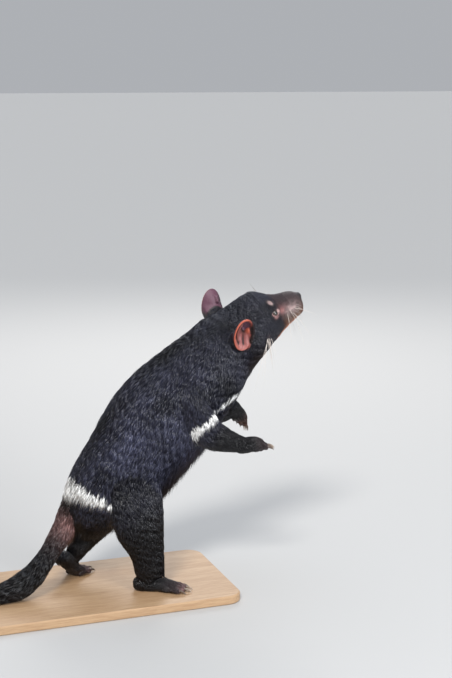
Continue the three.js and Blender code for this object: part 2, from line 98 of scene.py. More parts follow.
def catmull_rom(knots: np.ndarray, share: np.ndarray) -> np.ndarray:
    """Points on a smooth line through knots.

    Args:
        knots: one row for each knot.
        share: places along the line, 0 at its first knot and 1 at its last.

    Returns:
        One row for each share.
    """
    count = len(knots)
    run = np.vstack([2 * knots[0] - knots[1], knots, 2 * knots[-1] - knots[-2]])
    place = np.clip(share, 0.0, 1.0) * (count - 1)
    i = np.minimum(place.astype(int), count - 2)
    f = (place - i)[:, None]
    a, b, c, d = run[i], run[i + 1], run[i + 2], run[i + 3]
    return 0.5 * (2 * b + (c - a) * f + (2 * a - 5 * b + 4 * c - d) * f**2 + (3 * b - a - 3 * c + d) * f**3)


@dataclass(frozen=True)
class PoseFrame:
    """The frame the animal is laid out in: millimetres, midplane at y = 0 and soles at z = 0."""

    base_corner: tuple = (-300.0, -142.0, -15.3)
    head_at: tuple = (174.0, 0.0, 415.0)
    head_yaw: float = 2.0
    head_pitch: float = 22.0
    head_roll: float = 17.0

    def offset(self) -> np.ndarray:
        """Where the pose frame's origin is in the scene, in millimetres."""
        lowest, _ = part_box("stand_base")
        return np.array(lowest) / MM - np.array(self.base_corner)

    def to_scene(self, points: np.ndarray) -> np.ndarray:
        """Scene places in metres of points in the pose frame."""
        return (np.asarray(points, float) + self.offset()) * MM

    def to_pose(self, points: np.ndarray) -> np.ndarray:
        """Pose frame places in millimetres of points in the scene."""
        return np.asarray(points, float) / MM - self.offset()

    def head_turn(self) -> np.ndarray:
        """The head's rotation.

        Returns:
            A 3 by 3 array, one axis in each column.
        """
        turn = (
            Matrix.Rotation(math.radians(self.head_yaw), 3, "Z")
            @ Matrix.Rotation(-math.radians(self.head_pitch), 3, "Y")
            @ Matrix.Rotation(math.radians(self.head_roll), 3, "X")
        )
        return np.array(turn)

    def from_head(self, points: np.ndarray) -> np.ndarray:
        """Pose frame places of points in the head's frame."""
        return np.asarray(points, float) @ self.head_turn().T + np.array(self.head_at)

    def to_head(self, points: np.ndarray) -> np.ndarray:
        """Head frame places of points in the pose frame."""
        return (np.asarray(points, float) - np.array(self.head_at)) @ self.head_turn()


POSE = PoseFrame()


@dataclass(frozen=True)
class Coat:
    """How the coat lies at one place: hair length, tuft width, lift of the tips, depth of the skin, tufts per mm2."""

    length: float
    width: float
    lift: float
    depth: float
    density: float


class Hair(Enum):
    """Kinds of coat, by where they grow."""

    BACK = Coat(26.0, 1.25, 3.4, 4.6, 0.30)
    NECK = Coat(24.0, 1.2, 3.2, 4.4, 0.34)
    NAPE = Coat(17.0, 1.05, 2.4, 3.4, 0.48)
    CROWN = Coat(11.0, 0.76, 1.5, 2.2, 0.98)
    BROW = Coat(7.5, 0.6, 0.9, 1.3, 1.4)
    MUZZLE = Coat(4.4, 0.45, 0.5, 0.6, 1.7)
    SNOUT = Coat(2.6, 0.42, 0.35, 0.3, 1.2)
    SHOULDER = Coat(20.0, 1.2, 2.8, 4.0, 0.38)
    LIMB = Coat(14.0, 1.1, 2.2, 3.0, 0.50)
    WRIST = Coat(9.5, 0.95, 1.5, 1.6, 0.75)
    PAW = Coat(5.0, 0.7, 0.8, 0.6, 1.0)
    ANKLE = Coat(13.0, 1.0, 2.0, 1.8, 0.7)
    HAND = Coat(7.5, 0.8, 1.7, 0.7, 1.0)
    THIGH = Coat(20.0, 1.25, 3.0, 4.2, 0.34)
    TAIL_ROOT = Coat(15.0, 1.1, 2.2, 3.2, 0.36)
    TAIL = Coat(26.0, 1.25, 4.0, 5.0, 0.44)
    TAIL_TIP = Coat(20.0, 1.1, 2.2, 1.6, 0.65)


@dataclass(frozen=True)
class Station:
    """One section of a body part: its middle, half sizes and kind of coat."""

    at: tuple
    side: float
    top: float
    bottom: float
    hair: Hair


@dataclass(frozen=True)
class Limb:
    """A run of stations that the coat follows."""

    name: str
    stations: tuple
    topwards: tuple
    downward: float
    reversed_lie: bool = False
    in_head: bool = False

    def middles(self) -> np.ndarray:
        """The middle of each station in the pose frame."""
        points = np.array([s.at for s in self.stations], float)
        return POSE.from_head(points) if self.in_head else points

    def radii(self) -> np.ndarray:
        """The mean half size of each station."""
        return np.array([(2 * s.side + s.top + s.bottom) / 4 for s in self.stations])

    def coats(self) -> np.ndarray:
        """The coat's values at each station, one row each."""
        return np.array([astuple(s.hair.value) for s in self.stations])


def stations(rows: list) -> tuple:
    """Stations from rows of place, half sizes and kind of coat."""
    return tuple(Station(*row) for row in rows)


TORSO = Limb("torso", stations([
    ((-84, 0, 96), 20, 18, 20, Hair.TAIL_ROOT),
    ((-77, 0, 110), 40, 36, 38, Hair.BACK),
    ((-62, 0, 132), 54, 53, 56, Hair.BACK),
    ((-43, 0, 158), 62, 62, 70, Hair.BACK),
    ((-20, 0, 184), 66, 68, 80, Hair.BACK),
    ((6, 0, 210), 69, 77, 84, Hair.BACK),
    ((31, 0, 237), 72, 86, 83, Hair.BACK),
    ((58, 0, 267), 74, 91, 84, Hair.BACK),
    ((86, 0, 297), 73, 88, 86, Hair.BACK),
    ((115, 0, 328), 68, 80, 81, Hair.NECK),
    ((147, -2, 362), 61, 70, 75, Hair.NECK),
    ((166, -1, 386), 58, 60, 72, Hair.NAPE),
]), topwards=(0, 0, 1), downward=0.8, reversed_lie=True)
HEAD = Limb("head", stations([
    ((0, 0, -18.5), 57, 58, 71, Hair.NAPE),
    ((26, 0, -12), 58, 46, 63, Hair.CROWN),
    ((50, 0, -9), 57, 48, 53, Hair.CROWN),
    ((72, 0, -8), 51, 54, 43, Hair.BROW),
    ((90, 0, -9), 42, 43, 36, Hair.MUZZLE),
    ((106, 0, -10.5), 35, 34, 28, Hair.MUZZLE),
    ((122, 0, -11), 29, 29, 23, Hair.SNOUT),
    ((136, 0, -11), 26, 26, 19, Hair.SNOUT),
    ((151, 0, -9), 13, 12, 9, Hair.SNOUT),
]), topwards=(0, 0, 1), downward=0.25, reversed_lie=True, in_head=True)
TAIL = Limb("tail", stations([
    ((-84, 0, 141), 28, 25, 27, Hair.BACK),
    ((-97, -2, 122), 26, 24, 25, Hair.TAIL_ROOT),
    ((-112, -7, 102), 22, 21, 21, Hair.TAIL_ROOT),
    ((-129, -14, 82), 19, 18, 18, Hair.TAIL_ROOT),
    ((-148, -23, 60), 18, 18, 17, Hair.TAIL),
    ((-170, -34, 38), 20, 21, 18, Hair.TAIL),
    ((-198, -41, 22), 22, 22, 23, Hair.TAIL),
    ((-226, -43, 16), 18, 18, 17.5, Hair.TAIL),
    ((-253, -43, 11), 13, 11, 12, Hair.TAIL_TIP),
    ((-276, -41, 6), 6, 5, 7, Hair.TAIL_TIP),
    ((-283, -40, 4), 2, 2, 4.5, Hair.TAIL_TIP),
]), topwards=(0.5, 0, 1), downward=0.0)
FORELEG_RIGHT = Limb("foreleg_right", stations([
    ((93, -50, 318), 22, 34, 34, Hair.NECK),
    ((106, -62, 286), 23, 34, 32, Hair.SHOULDER),
    ((122, -68, 259), 21, 31, 26, Hair.SHOULDER),
    ((145, -69, 247), 19, 26, 21, Hair.LIMB),
    ((170, -67, 239), 16, 19, 17, Hair.LIMB),
    ((191, -64, 233), 13, 12.5, 13, Hair.WRIST),
    ((214, -62, 232), 15, 10, 11, Hair.HAND),
    ((238, -60, 230), 14, 6, 7, Hair.PAW),
]), topwards=(-0.3, 0, 1), downward=0.25)
FORELEG_LEFT = Limb("foreleg_left", stations([
    ((95, 48, 322), 22, 34, 34, Hair.NECK),
    ((113, 61, 290), 23, 32, 32, Hair.SHOULDER),
    ((138, 66, 262), 21, 26, 29, Hair.SHOULDER),
    ((165, 65, 255), 19, 21, 24, Hair.LIMB),
    ((192, 60, 260), 16, 17, 18, Hair.LIMB),
    ((213, 54, 266), 12.5, 12.5, 12.5, Hair.WRIST),
    ((227, 62, 249), 15, 10, 11, Hair.HAND),
    ((240, 70, 231), 14, 6, 7, Hair.PAW),
]), topwards=(-0.3, 0, 1), downward=0.25)
HIND_LEG_RIGHT = Limb("hind_leg_right", stations([
    ((-12, -46, 165), 28, 56, 42, Hair.THIGH),
    ((-3, -58, 128), 31, 52, 43, Hair.THIGH),
    ((8, -64, 93), 28, 38, 40, Hair.LIMB),
    ((15, -66, 63), 23, 30, 30, Hair.LIMB),
    ((18, -66, 35), 20, 26, 26, Hair.ANKLE),
    ((24, -68, 14), 18, 14, 14, Hair.PAW),
    ((58, -87, 8), 17, 9, 8, Hair.PAW),
    ((78, -97, 6), 14, 6, 6, Hair.PAW),
]), topwards=(1, 0, 0.3), downward=0.1)
HIND_LEG_LEFT = Limb("hind_leg_left", stations([
    ((-22, 44, 160), 28, 50, 42, Hair.THIGH),
    ((-24, 50, 126), 30, 46, 42, Hair.THIGH),
    ((-36, 49, 98), 27, 34, 31, Hair.LIMB),
    ((-56, 43, 76), 22, 25, 24, Hair.LIMB),
    ((-78, 34, 56), 17, 20, 19, Hair.ANKLE),
    ((-100, 28, 30), 14, 13, 12, Hair.PAW),
    ((-80, 45, 9), 17, 9, 8, Hair.PAW),
    ((-56, 66, 6), 14, 6, 6, Hair.PAW),
]), topwards=(1, 0, 0.3), downward=0.1)
LIMBS = (TORSO, HEAD, TAIL, FORELEG_RIGHT, FORELEG_LEFT, HIND_LEG_RIGHT, HIND_LEG_LEFT)


class Part(IntEnum):
    """The place of each body part in LIMBS."""

    TORSO = 0
    HEAD = 1
    TAIL = 2
    FORELEG_RIGHT = 3
    FORELEG_LEFT = 4
    HIND_LEG_RIGHT = 5
    HIND_LEG_LEFT = 6


class Lie:
    """The lie of the coat over the whole body: its direction, its kind and the part that each point is on."""

    SHARPNESS = 7.0

    def __init__(self, points: np.ndarray) -> None:
        """Works out the lie at points.

        Args:
            points: places on the skin in the pose frame, one row each.
        """
        nearness, ways, coats, shares = [], [], [], []
        for limb in LIMBS:
            near, way, coat, share = self._along(limb, points)
            nearness.append(near)
            ways.append(way)
            coats.append(coat)
            shares.append(share)
        near = np.array(nearness)
        weights = np.exp(-self.SHARPNESS * (near - near.min(axis=0)))
        weights /= weights.sum(axis=0)
        self.part = near.argmin(axis=0)
        self.way = np.einsum("lp,lpk->pk", weights, np.array(ways))
        values = np.einsum("lp,lpk->pk", weights, np.array(coats))
        self.length, self.width, self.lift, self.depth, self.density = values.T
        self.share = np.array(shares)[self.part, np.arange(len(points))]
        self.weights = weights

    @staticmethod
    def _along(limb: Limb, points: np.ndarray) -> tuple:
        """The nearest place on a limb's middle line.

        Args:
            limb: the limb.
            points: places in the pose frame.

        Returns:
            How far each point is in radii, the way the coat lies, its coat values, and its share of the limb.
        """
        middles, radii, coats = limb.middles(), limb.radii(), limb.coats()
        best = np.full(len(points), np.inf)
        way = np.zeros((len(points), 3))
        coat = np.zeros((len(points), coats.shape[1]))
        share = np.zeros(len(points))
        spans = unit(np.diff(middles, axis=0))
        turns = np.vstack([spans[:1], unit(spans[1:] + spans[:-1]), spans[-1:]])
        sign = -1.0 if limb.reversed_lie else 1.0
        for i in range(len(middles) - 1):
            span = middles[i + 1] - middles[i]
            t = np.clip((points - middles[i]) @ span / (span @ span), 0.0, 1.0)
            radius = radii[i] + (radii[i + 1] - radii[i]) * t
            far = np.linalg.norm(points - middles[i] - t[:, None] * span, axis=1) / radius
            take = far < best
            best[take] = far[take]
            mixed = turns[i] + (turns[i + 1] - turns[i]) * t[:, None]
            lie = sign * unit(mixed) + np.array([0.0, 0.0, -limb.downward])
            way[take] = lie[take]
            blended = coats[i] + (coats[i + 1] - coats[i]) * t[:, None]
            coat[take] = blended[take]
            share[take] = ((i + t) / (len(middles) - 1))[take]
        return best, way, coat, share

    def on_forelegs(self) -> np.ndarray:
        """How far each point belongs to a foreleg, 0 to 1."""
        return self.weights[Part.FORELEG_RIGHT] + self.weights[Part.FORELEG_LEFT]

    def on_hind_legs(self) -> np.ndarray:
        """How far each point belongs to a hind leg, 0 to 1."""
        return self.weights[Part.HIND_LEG_RIGHT] + self.weights[Part.HIND_LEG_LEFT]

    def along(self, normals: np.ndarray) -> np.ndarray:
        """The way the coat lies, laid onto the skin."""
        flat = self.way - (self.way * normals).sum(axis=1, keepdims=True) * normals
        return unit(flat)


@dataclass(frozen=True)
class EarShape:
    """A thin oval cup on the side of the head, in the head's frame."""

    base: tuple = (4.0, 59.0, -7.0)
    tip: tuple = (22.0, 64.0, 51.0)
    opens: tuple = (-0.05, 0.97, 0.05)
    width: float = 38.0
    hollow: float = 13.0
    wall: float = 1.5
    root_depth: float = 22.0
    root_top: float = 0.3
    root_full: float = 0.7
    narrowing: float = 0.06

    def axes(self, sign: float) -> tuple:
        """The ear's place in the head's frame.

        Args:
            sign: 1 for the left and -1 for the right.

        Returns:
            The ear's middle, its forward, upward and outward axes, and half its height.
        """
        mirror = np.array([1.0, sign, 1.0])
        base, tip = np.array(self.base) * mirror, np.array(self.tip) * mirror
        rise = tip - base
        up = unit(rise)
        opens = np.array(self.opens) * mirror
        opens = unit(opens - opens @ up * up)
        forward = np.cross(up, opens) * -sign
        return (base + tip) / 2, forward, up, opens, np.linalg.norm(rise) / 2

    def inside(self, points: np.ndarray, sign: float) -> tuple:
        """Places in an ear's own frame.

        Args:
            points: places in the head's frame.
            sign: 1 for the left ear and -1 for the right.

        Returns:
            The share across, forward positive, the share up, and the distance outward from the cup's sheet.
        """
        centre, forward, up, opens, half = self.axes(sign)
        away = points - centre
        y = away @ up / half
        x = away @ forward / (self.width / 2) / (1 - self.narrowing * np.maximum(0, y))
        sheet = -self.hollow * (1 - np.minimum(np.hypot(x, y), 1.0) ** 2)
        return x, y, away @ opens - sheet

    def relief(self, x: np.ndarray, y: np.ndarray) -> np.ndarray:
        """The folds of the ear's inner face.

        Args:
            x: the share across the ear.
            y: the share up it.

        Returns:
            The rise of each place, in millimetres.
        """
        r = np.hypot(x, y)
        turn = np.arctan2(y, x)
        rim = 3.4 * bump_at(r - 0.88, 0.12) * (0.35 + 0.65 * smooth(-0.6, 0.6, np.cos(turn - math.radians(140))))
        groove = -1.8 * bump_at(r - 0.68, 0.07) * smooth(-0.2, 0.5, np.cos(turn - math.radians(150)))
        inner = 3.6 * bump_at(r - 0.5, 0.1) * smooth(-0.1, 0.6, np.cos(turn - math.radians(170)))
        canal = -8.0 * bump_at(np.hypot((x - 0.32) / 1.0, (y - 0.42) / 1.15), 0.28)
        knob = 4.6 * bump_at(np.hypot(x - 0.48, (y - 0.14) / 1.2), 0.14)
        ridges = 1.7 * np.cos(x * 13.0 + 1.2) * smooth(0.05, 0.4, -y) * smooth(0.95, 0.7, r)
        front_wall = 2.4 * bump_at(np.hypot(x - 0.72, (y + 0.1) / 2.4), 0.16)
        return rim + groove + inner + canal + knob + ridges + front_wall


@dataclass(frozen=True)
class EyeShape:
    """An eyeball and its lids, in the head's frame."""

    at: tuple = (85.0, 34.0, 14.5)
    radius: float = 6.2
    outward: tuple = (0.28, 0.86, 0.42)
    opening: tuple = (4.6, 4.3)
    lid_sides: int = 10
    lid_steps: int = 44

    def axes(self, sign: float) -> tuple:
        """The eye's place in the head's frame.

        Args:
            sign: 1 for the left and -1 for the right.

        Returns:
            The eyeball's middle, and its outward, forward and upward axes.
        """
        mirror = np.array([1.0, sign, 1.0])
        outward = unit(np.array(self.outward) * mirror)
        forward = np.array([1.0, 0.0, 0.06])
        forward = unit(forward - forward @ outward * outward)
        up = np.cross(outward, forward) * sign
        up = up if up[2] > 0 else -up
        return np.array(self.at) * mirror, outward, forward, up


EAR = EarShape()
EYE = EyeShape()
MYSTACIAL = [(row, k) for row in range(4) for k in range(6 - row // 2)]
MYSTACIAL_SIDE = 26.0
LIP_LINE = np.array([(156, -17), (148, -20.5), (136, -20.5), (126, -19), (106, -21), (86, -27), (76, -33.5)], float)
NOSE_AT = np.array([149.0, 0.0, 1.0])
NOSE_STRETCH = np.array([0.85, 1.05, 0.92])
NOSTRIL_AT = np.array([156.0, 5.4, -0.6])


def mystacial_root(row: int, k: int, side: float) -> tuple:
    """Where a whisker of the muzzle's rows grows on the left side, side millimetres out at the front of its row."""
    return 134 - 5.6 * k - row * 1.5, side + 1.2 * k, 4.0 - 4.2 * row


def far_from_line(points: np.ndarray, line: np.ndarray) -> np.ndarray:
    """How far points are from a line of straight spans.

    Args:
        points: places, one row each.
        line: the line's corners, one row each.

    Returns:
        One distance for each point.
    """
    best = np.full(len(points), np.inf)
    for a, b in zip(line[:-1], line[1:]):
        span = b - a
        t = np.clip((points - a) @ span / (span @ span), 0.0, 1.0)
        best = np.minimum(best, np.linalg.norm(points - a - t[:, None] * span, axis=1))
    return best


class Layers:
    """The skin's colour, cover and gloss at many places, built up by laying tones over one another."""

    def __init__(self, count: int, tone: np.ndarray) -> None:
        """Starts with one tone, which covers nothing of the coat.

        Args:
            count: how many places there are.
            tone: the tone.
        """
        self.colour = np.tile(tone, (count, 1))
        self.cover = np.zeros(count)
        self.gloss = np.full(count, 0.55)

    def paint(self, tone: np.ndarray, amount: np.ndarray, cover: float, shine: float = 0.5) -> None:
        """Lays a tone over the skin.

        Args:
            tone: the tone, one for all places or a row for each.
            amount: how strongly it is laid on each place, 0 to 1.
            cover: how far the skin then shows in place of the coat.
            shine: the roughness that comes with it.
        """
        amount = np.clip(amount, 0.0, 1.0)
        self.colour += (tone - self.colour) * amount[:, None]
        self.cover = np.maximum(self.cover, amount * cover)
        self.gloss += (shine - self.gloss) * amount


class Markings:
    """The colours of the animal, the same for its skin and its coat. Some are painted light: a sheen on the coat, a
    glow on the ears' rims, and shade in the ears' hollows and along the mouth. Every colour is linear.
    """

    BLACK = np.array([0.0050, 0.0048, 0.0062])
    WARM_BLACK = np.array([0.0105, 0.0088, 0.0100])
    # Painted sheen: a pale bluish tone laid into the coat, standing in for its highlights
    PAINTED_SHEEN = np.array([0.0700, 0.0745, 0.1270])
    BROWN = np.array([0.070, 0.040, 0.026])
    WHITE = np.array([0.94, 0.935, 0.92])
    HIDE = np.array([0.035, 0.026, 0.028])
    MUZZLE = np.array([0.070, 0.046, 0.046])
    PINK = np.array([0.36, 0.150, 0.145])
    PALE_PINK = np.array([0.62, 0.45, 0.43])
    LIP = np.array([0.40, 0.135, 0.055])
    TAN = np.array([0.20, 0.088, 0.048])
    NOSE = np.array([0.022, 0.017, 0.018])
    # The ear's own red, made brighter and more orange as a painted glow of light shining through the thin ear
    EAR_RED_AND_GLOW = np.array([0.46, 0.105, 0.060])
    EAR_INNER = np.array([0.25, 0.075, 0.066])
    EAR_BACK = np.array([0.120, 0.050, 0.078])
    # Dark spots of the whisker roots and lid rims, and painted shade in the mouth's crease and the ears' hollows
    DARK_AND_SHADE = np.array([0.016, 0.006, 0.006])
    PAW = np.array([0.050, 0.032, 0.034])
    TOE_PINK = np.array([0.25, 0.135, 0.135])
    FAR_PAW = np.array([0.13, 0.052, 0.032])
    TAIL_HIDE = np.array([0.33, 0.185, 0.175])
    TAIL_PATCH = np.array([-109.0, -18.0, 112.0])
    # The edges of the rump band: places on the right flank, from the middle of the back to its point
    BAND_TOP = np.array([(-99, 0, 182), (-99, -6, 178), (-91, -30, 176), (-81, -45, 170), (-68, -53, 162),
                         (-55, -59, 153), (-44, -66, 145)], float)
    BAND_FOOT = np.array([(-112, 0, 152), (-107, -20, 152), (-97, -34, 152), (-84, -46, 149), (-70, -54, 146),
                          (-58, -58, 144), (-46, -65, 141)], float)
    CHEST_LINE = np.array([(104, -81, 247), (98, -80, 259), (104, -84, 269), (114, -88, 277), (130, -84, 287),
                           (152, -60, 296), (173, -50, 309), (192, -38, 313), (204, -18, 314), (207, 0, 314)], float)
    CHEST_WIDTH = np.array([2.0, 8.5, 6.0, 4.4, 5.2, 5.4, 4.4, 5.0, 5.0, 5.0])
    CHEST_FLAT = np.array([1.0, 0.3, 1.0])

    def bare(self, points: np.ndarray, lie: Lie) -> tuple:
        """Where the skin shows through the coat.

        Args:
            points: places in the pose frame.
            lie: the lie of the coat at those places.

        Returns:
            The skin's colour there, how far it covers the coat's own colour, and the gloss of the skin.
        """
        head = POSE.to_head(points)
        folded = np.stack([head[:, 0], np.abs(head[:, 1]), head[:, 2]], axis=1)
        layers = Layers(len(points), self.HIDE)
        grain = 0.5 + 0.5 * wobble(points, 7.0, 3)
        in_head = lie.part == Part.HEAD
        self._paint_muzzle(layers, folded, in_head, grain)
        self._paint_lids(layers, head, in_head)
        nose = smooth(12.5, 10.0, np.linalg.norm((folded - NOSE_AT) / NOSE_STRETCH, axis=1))
        layers.paint(self.NOSE, nose * in_head * smooth(144, 147, head[:, 0]), 1.0, 0.28)
        self._paint_ears(layers, head)
        self._paint_limbs(layers, points, lie, grain)
        return layers.colour, layers.cover, layers.gloss

    def _paint_muzzle(self, layers: Layers, folded: np.ndarray, in_head: np.ndarray, grain: np.ndarray) -> None:
        """Lays the colours of the muzzle, lips, cheeks and brows over the skin, with a painted shade along the mouth.

        Args:
            layers: the skin's colours, which are changed.
            folded: places in the head's frame, all on its left side.
            in_head: true where a place belongs to the head.
            grain: fine noise at the places, 0 to 1.
        """
        x, y, z = folded.T
        paint = layers.paint
        paint(self.MUZZLE, in_head * smooth(86, 104, x) * 0.9, 0.75)
        paint(self.TAN, in_head * smooth(90, 104, x) * bump_at(z + 15, 11.0) * (y > 12), 0.85)
        cheek = bump_at(np.linalg.norm((folded - (104, 29, 9)) / (1.5, 1, 0.75), axis=1), 10.0)
        paint(self.PINK, in_head * cheek, 0.95)
        pad = bump_at(np.linalg.norm((folded - (122, 26, 1)) / (1.7, 1.2, 0.85), axis=1), 11.0) * in_head
        paint(self.PALE_PINK * (0.35 + 0.5 * grain)[:, None], pad * 0.95, 0.95)
        for row, k in MYSTACIAL:
            root = mystacial_root(row, k, MYSTACIAL_SIDE)
            paint(self.DARK_AND_SHADE, in_head * bump_at(np.linalg.norm(folded - root, axis=1), 1.3) * 0.8, 0.9)
        lip = bump_at(far_from_line(folded[:, [0, 2]] + (0, 3.2), LIP_LINE), 4.4) * in_head
        lip *= smooth(72, 80, x) * smooth(140, 116, x)
        paint(self.LIP, lip * 1.6, 1.0, 0.35)
        # Painted shade: a dark line where the lips meet
        mouth = bump_at(far_from_line(folded[:, [0, 2]], LIP_LINE), 1.1) * in_head * smooth(72, 80, x)
        paint(self.DARK_AND_SHADE, mouth * 1.3, 1.0, 0.3)
        brow = bump_at(np.linalg.norm((folded - (87, 23, 30)) / (1.2, 1, 1), axis=1), 5.4) * in_head
        paint(self.PALE_PINK, brow * 1.5, 1.0)
        wart = bump_at(np.linalg.norm(folded - (56, 57, -9), axis=1), 4.5) * in_head
        paint(self.MUZZLE * 1.5, wart, 0.8)

    def _paint_lids(self, layers: Layers, head: np.ndarray, in_head: np.ndarray) -> None:
        """Lays the colours round the eyes over the skin.

        Args:
            layers: the skin's colours, which are changed.
            head: places in the head's frame.
            in_head: true where a place belongs to the head.
        """
        for sign in SIDES.values():
            at, outward, forward, up = EYE.axes(sign)
            away = head - at
            u, v, w = away @ forward, away @ up, away @ outward
            lids = bump_at(np.maximum(np.hypot(u / 1.08, v) - 5.4, 0.0), 2.0) * (w > 0) * in_head
            lower = smooth(2.2, -1.5, v + 0.45 * u)
            layers.paint(self.HIDE * 0.7, lids * (1 - lower), 1.0, 0.4)
            layers.paint(self.PALE_PINK * (0.72, 0.6, 0.6), lids * lower * 0.95, 1.0, 0.35)
            fold = bump_at(np.hypot((u + 2.0) / 1.7, v + 8.0), 3.2) * (w > -3) * in_head
            layers.paint(self.PALE_PINK * (0.6, 0.46, 0.47), fold * 1.2, 1.0, 0.4)
            corner = bump_at(np.hypot(u - 8.8, (v - 0.2) / 1.2), 3.6) * (w > -4) * in_head
            layers.paint(self.PALE_PINK * (1.0, 0.92, 0.92), corner * 1.4, 1.0, 0.35)
            rim = bump_at(np.hypot(u / 1.07, v) - 4.3, 0.55) * (w > 3.5) * in_head
            layers.paint(self.DARK_AND_SHADE, rim * 0.9, 1.0, 0.25)

    def _paint_limbs(self, layers: Layers, points: np.ndarray, lie: Lie, grain: np.ndarray) -> None:
        """Lays the colours of the paws, feet and tail over the skin.

        Args:
            layers: the skin's colours, which are changed.
            points: places in the pose frame.
            lie: the lie of the coat there.
            grain: fine noise at the places, 0 to 1.
        """
        near_end = smooth(0.74, 0.9, lie.share) * (lie.part >= Part.FORELEG_RIGHT)
        layers.paint(self.PAW, near_end, 0.8)
        toes = (lie.part >= Part.HIND_LEG_RIGHT) * smooth(0.84, 0.97, lie.share)
        layers.paint(self.TOE_PINK, toes * (0.55 + 0.45 * grain), 0.9)
        layers.paint(self.FAR_PAW, (lie.part == Part.FORELEG_LEFT) * near_end * 0.85, 0.9)
        on_tail = lie.part == Part.TAIL
        layers.paint(self.TAIL_HIDE * 0.45, on_tail * bump_at(lie.share - 0.22, 0.14), 0.75)
        sides = points * np.array([1.0, -1.0, 1.0])
        sides[:, 1] = -np.abs(points[:, 1] + 5.0)
        patch = bump_at(np.linalg.norm(sides - self.TAIL_PATCH, axis=1), 21.0) * on_tail
        layers.paint(self.TAIL_HIDE * 1.6, patch * (0.65 + 0.35 * grain), 0.97)

    def _paint_ears(self, layers: Layers, head: np.ndarray) -> None:
        """Lays the ears' colours over the skin: their own reds, a painted glow on the rim and knob, and painted shade
        in the hollows.

        Args:
            layers: the skin's colours, which are changed.
            head: places in the head's frame.
        """
        paint = layers.paint
        for sign in SIDES.values():
            x, y, out = EAR.inside(head, sign)
            r = np.hypot(x, y)
            near = (r < 1.12) & (np.abs(out) < 14.0) & (head[:, 1] * sign > 46.0)
            front = near * smooth(-0.2, 0.5, out)
            back = near * (1.0 - smooth(-0.2, 0.5, out)) * smooth(-0.6, -0.1, y)
            paint(self.EAR_BACK, back, 0.95, 0.5)
            paint(self.EAR_INNER, front, 1.0, 0.45)
            turn = np.arctan2(y, x)
            upper = smooth(-0.5, 0.5, np.cos(turn - math.radians(145)))
            rim = smooth(0.6, 0.72, r) * (0.25 + 0.75 * upper)
            # Painted glow on the rim: the ear's own red, brightened as if light shines through it
            paint(self.EAR_RED_AND_GLOW, front * rim, 1.0, 0.42)
            paint(self.PINK * 0.85, front * smooth(0.05, 0.5, -y) * smooth(1.0, 0.8, r) * 0.7, 1.0, 0.42)
            relief = EAR.relief(x, y)
            # Painted shade in the ear's hollows, its canal and the groove behind its inner ridge; the front edge is
            # painted dark as well
            paint(self.DARK_AND_SHADE * 0.4, front * smooth(0.5, -1.1, relief) * smooth(-0.4, 0.0, y), 1.0, 0.95)
            behind = smooth(0.0, 0.6, np.cos(turn - math.radians(160)))
            paint(self.DARK_AND_SHADE, front * bump_at(r - 0.64, 0.065) * behind * 0.95, 1.0, 0.8)
            paint(self.DARK_AND_SHADE, front * smooth(-0.1, -1.2, relief) * smooth(0.0, 0.25, -y) * 0.6, 1.0, 0.8)
            knob = bump_at(np.hypot(x - 0.48, (y - 0.12) / 1.2), 0.15)
            # Painted glow on the knob, as on the rim
            paint(self.EAR_RED_AND_GLOW, front * knob * 1.4, 1.0, 0.45)
            paint(self.DARK_AND_SHADE, front * smooth(0.62, 0.72, x + 0.06 * np.sin(y * 9.0)), 1.0, 0.8)

    def white(self, points: np.ndarray) -> np.ndarray:
        """The rump band, and the chest stripe on both sides.

        Args:
            points: places in the pose frame.

        Returns:
            How white each place is, 0 to 1.
        """
        folded = points * np.array([1.0, -1.0, 1.0])
        folded[:, 1] = -np.abs(points[:, 1])
        ragged = 1.6 * wobble(points, 9.0, 11)
        rump = self._between(folded, ragged)
        far = np.full(len(points), np.inf)
        for (a, b), (wa, wb) in zip(
            zip(self.CHEST_LINE[:-1], self.CHEST_LINE[1:]), zip(self.CHEST_WIDTH[:-1], self.CHEST_WIDTH[1:])
        ):
            span = (b - a) * self.CHEST_FLAT
            away = (folded - a) * self.CHEST_FLAT
            t = np.clip(away @ span / (span @ span), 0.0, 1.0)
            width = wa + (wb - wa) * t
            gap = np.linalg.norm(away - t[:, None] * span, axis=1) - width
            far = np.minimum(far, gap)
        chest = smooth(1.0, -1.0, far + ragged * 0.6)
        return np.maximum(rump, chest)

    def _between(self, folded: np.ndarray, ragged: np.ndarray) -> np.ndarray:
        """The rump band, between its two edges.

        Args:
            folded: places in the pose frame, all on the right side.
            ragged: how far the edge strays at each place.

        Returns:
            How white each place is, 0 to 1.
        """
        inside = np.zeros(len(folded))
        for i in range(len(self.BAND_TOP) - 1):
            top_a, top_b = self.BAND_TOP[i], self.BAND_TOP[i + 1]
            foot_a, foot_b = self.BAND_FOOT[i], self.BAND_FOOT[i + 1]
            middle = (top_a + top_b + foot_a + foot_b) / 4
            drop = (top_a + top_b - foot_a - foot_b) / 2
            tall = np.linalg.norm(drop)
            run = (top_b + foot_b - top_a - foot_a) / 2
            wide = np.linalg.norm(run)
            away = folded - middle
            along = away @ run / wide
            rise = away @ drop / tall
            near = np.linalg.norm(away, axis=1) < 45
            half = tall / 2
            here = smooth(wide / 2 + 1.6, wide / 2 - 0.4, np.abs(along))
            here = here * smooth(half + 1.2, half - 1.2, np.abs(rise) + ragged)
            inside = np.maximum(inside, here * near)
        return inside

    def coat(self, points: np.ndarray, lie: Lie) -> np.ndarray:
        """The colour of the coat, with a painted sheen on the flanks, shoulders, thighs and head.

        Args:
            points: places in the pose frame.
            lie: the lie of the coat there.

        Returns:
            The colours, one row each.
        """
        head = POSE.to_head(points)
        colour = np.tile(self.BLACK, (len(points), 1))
        warm = 0.5 + 0.5 * wobble(points, 60.0, 5)
        colour += (self.WARM_BLACK - colour) * (0.5 * warm)[:, None]
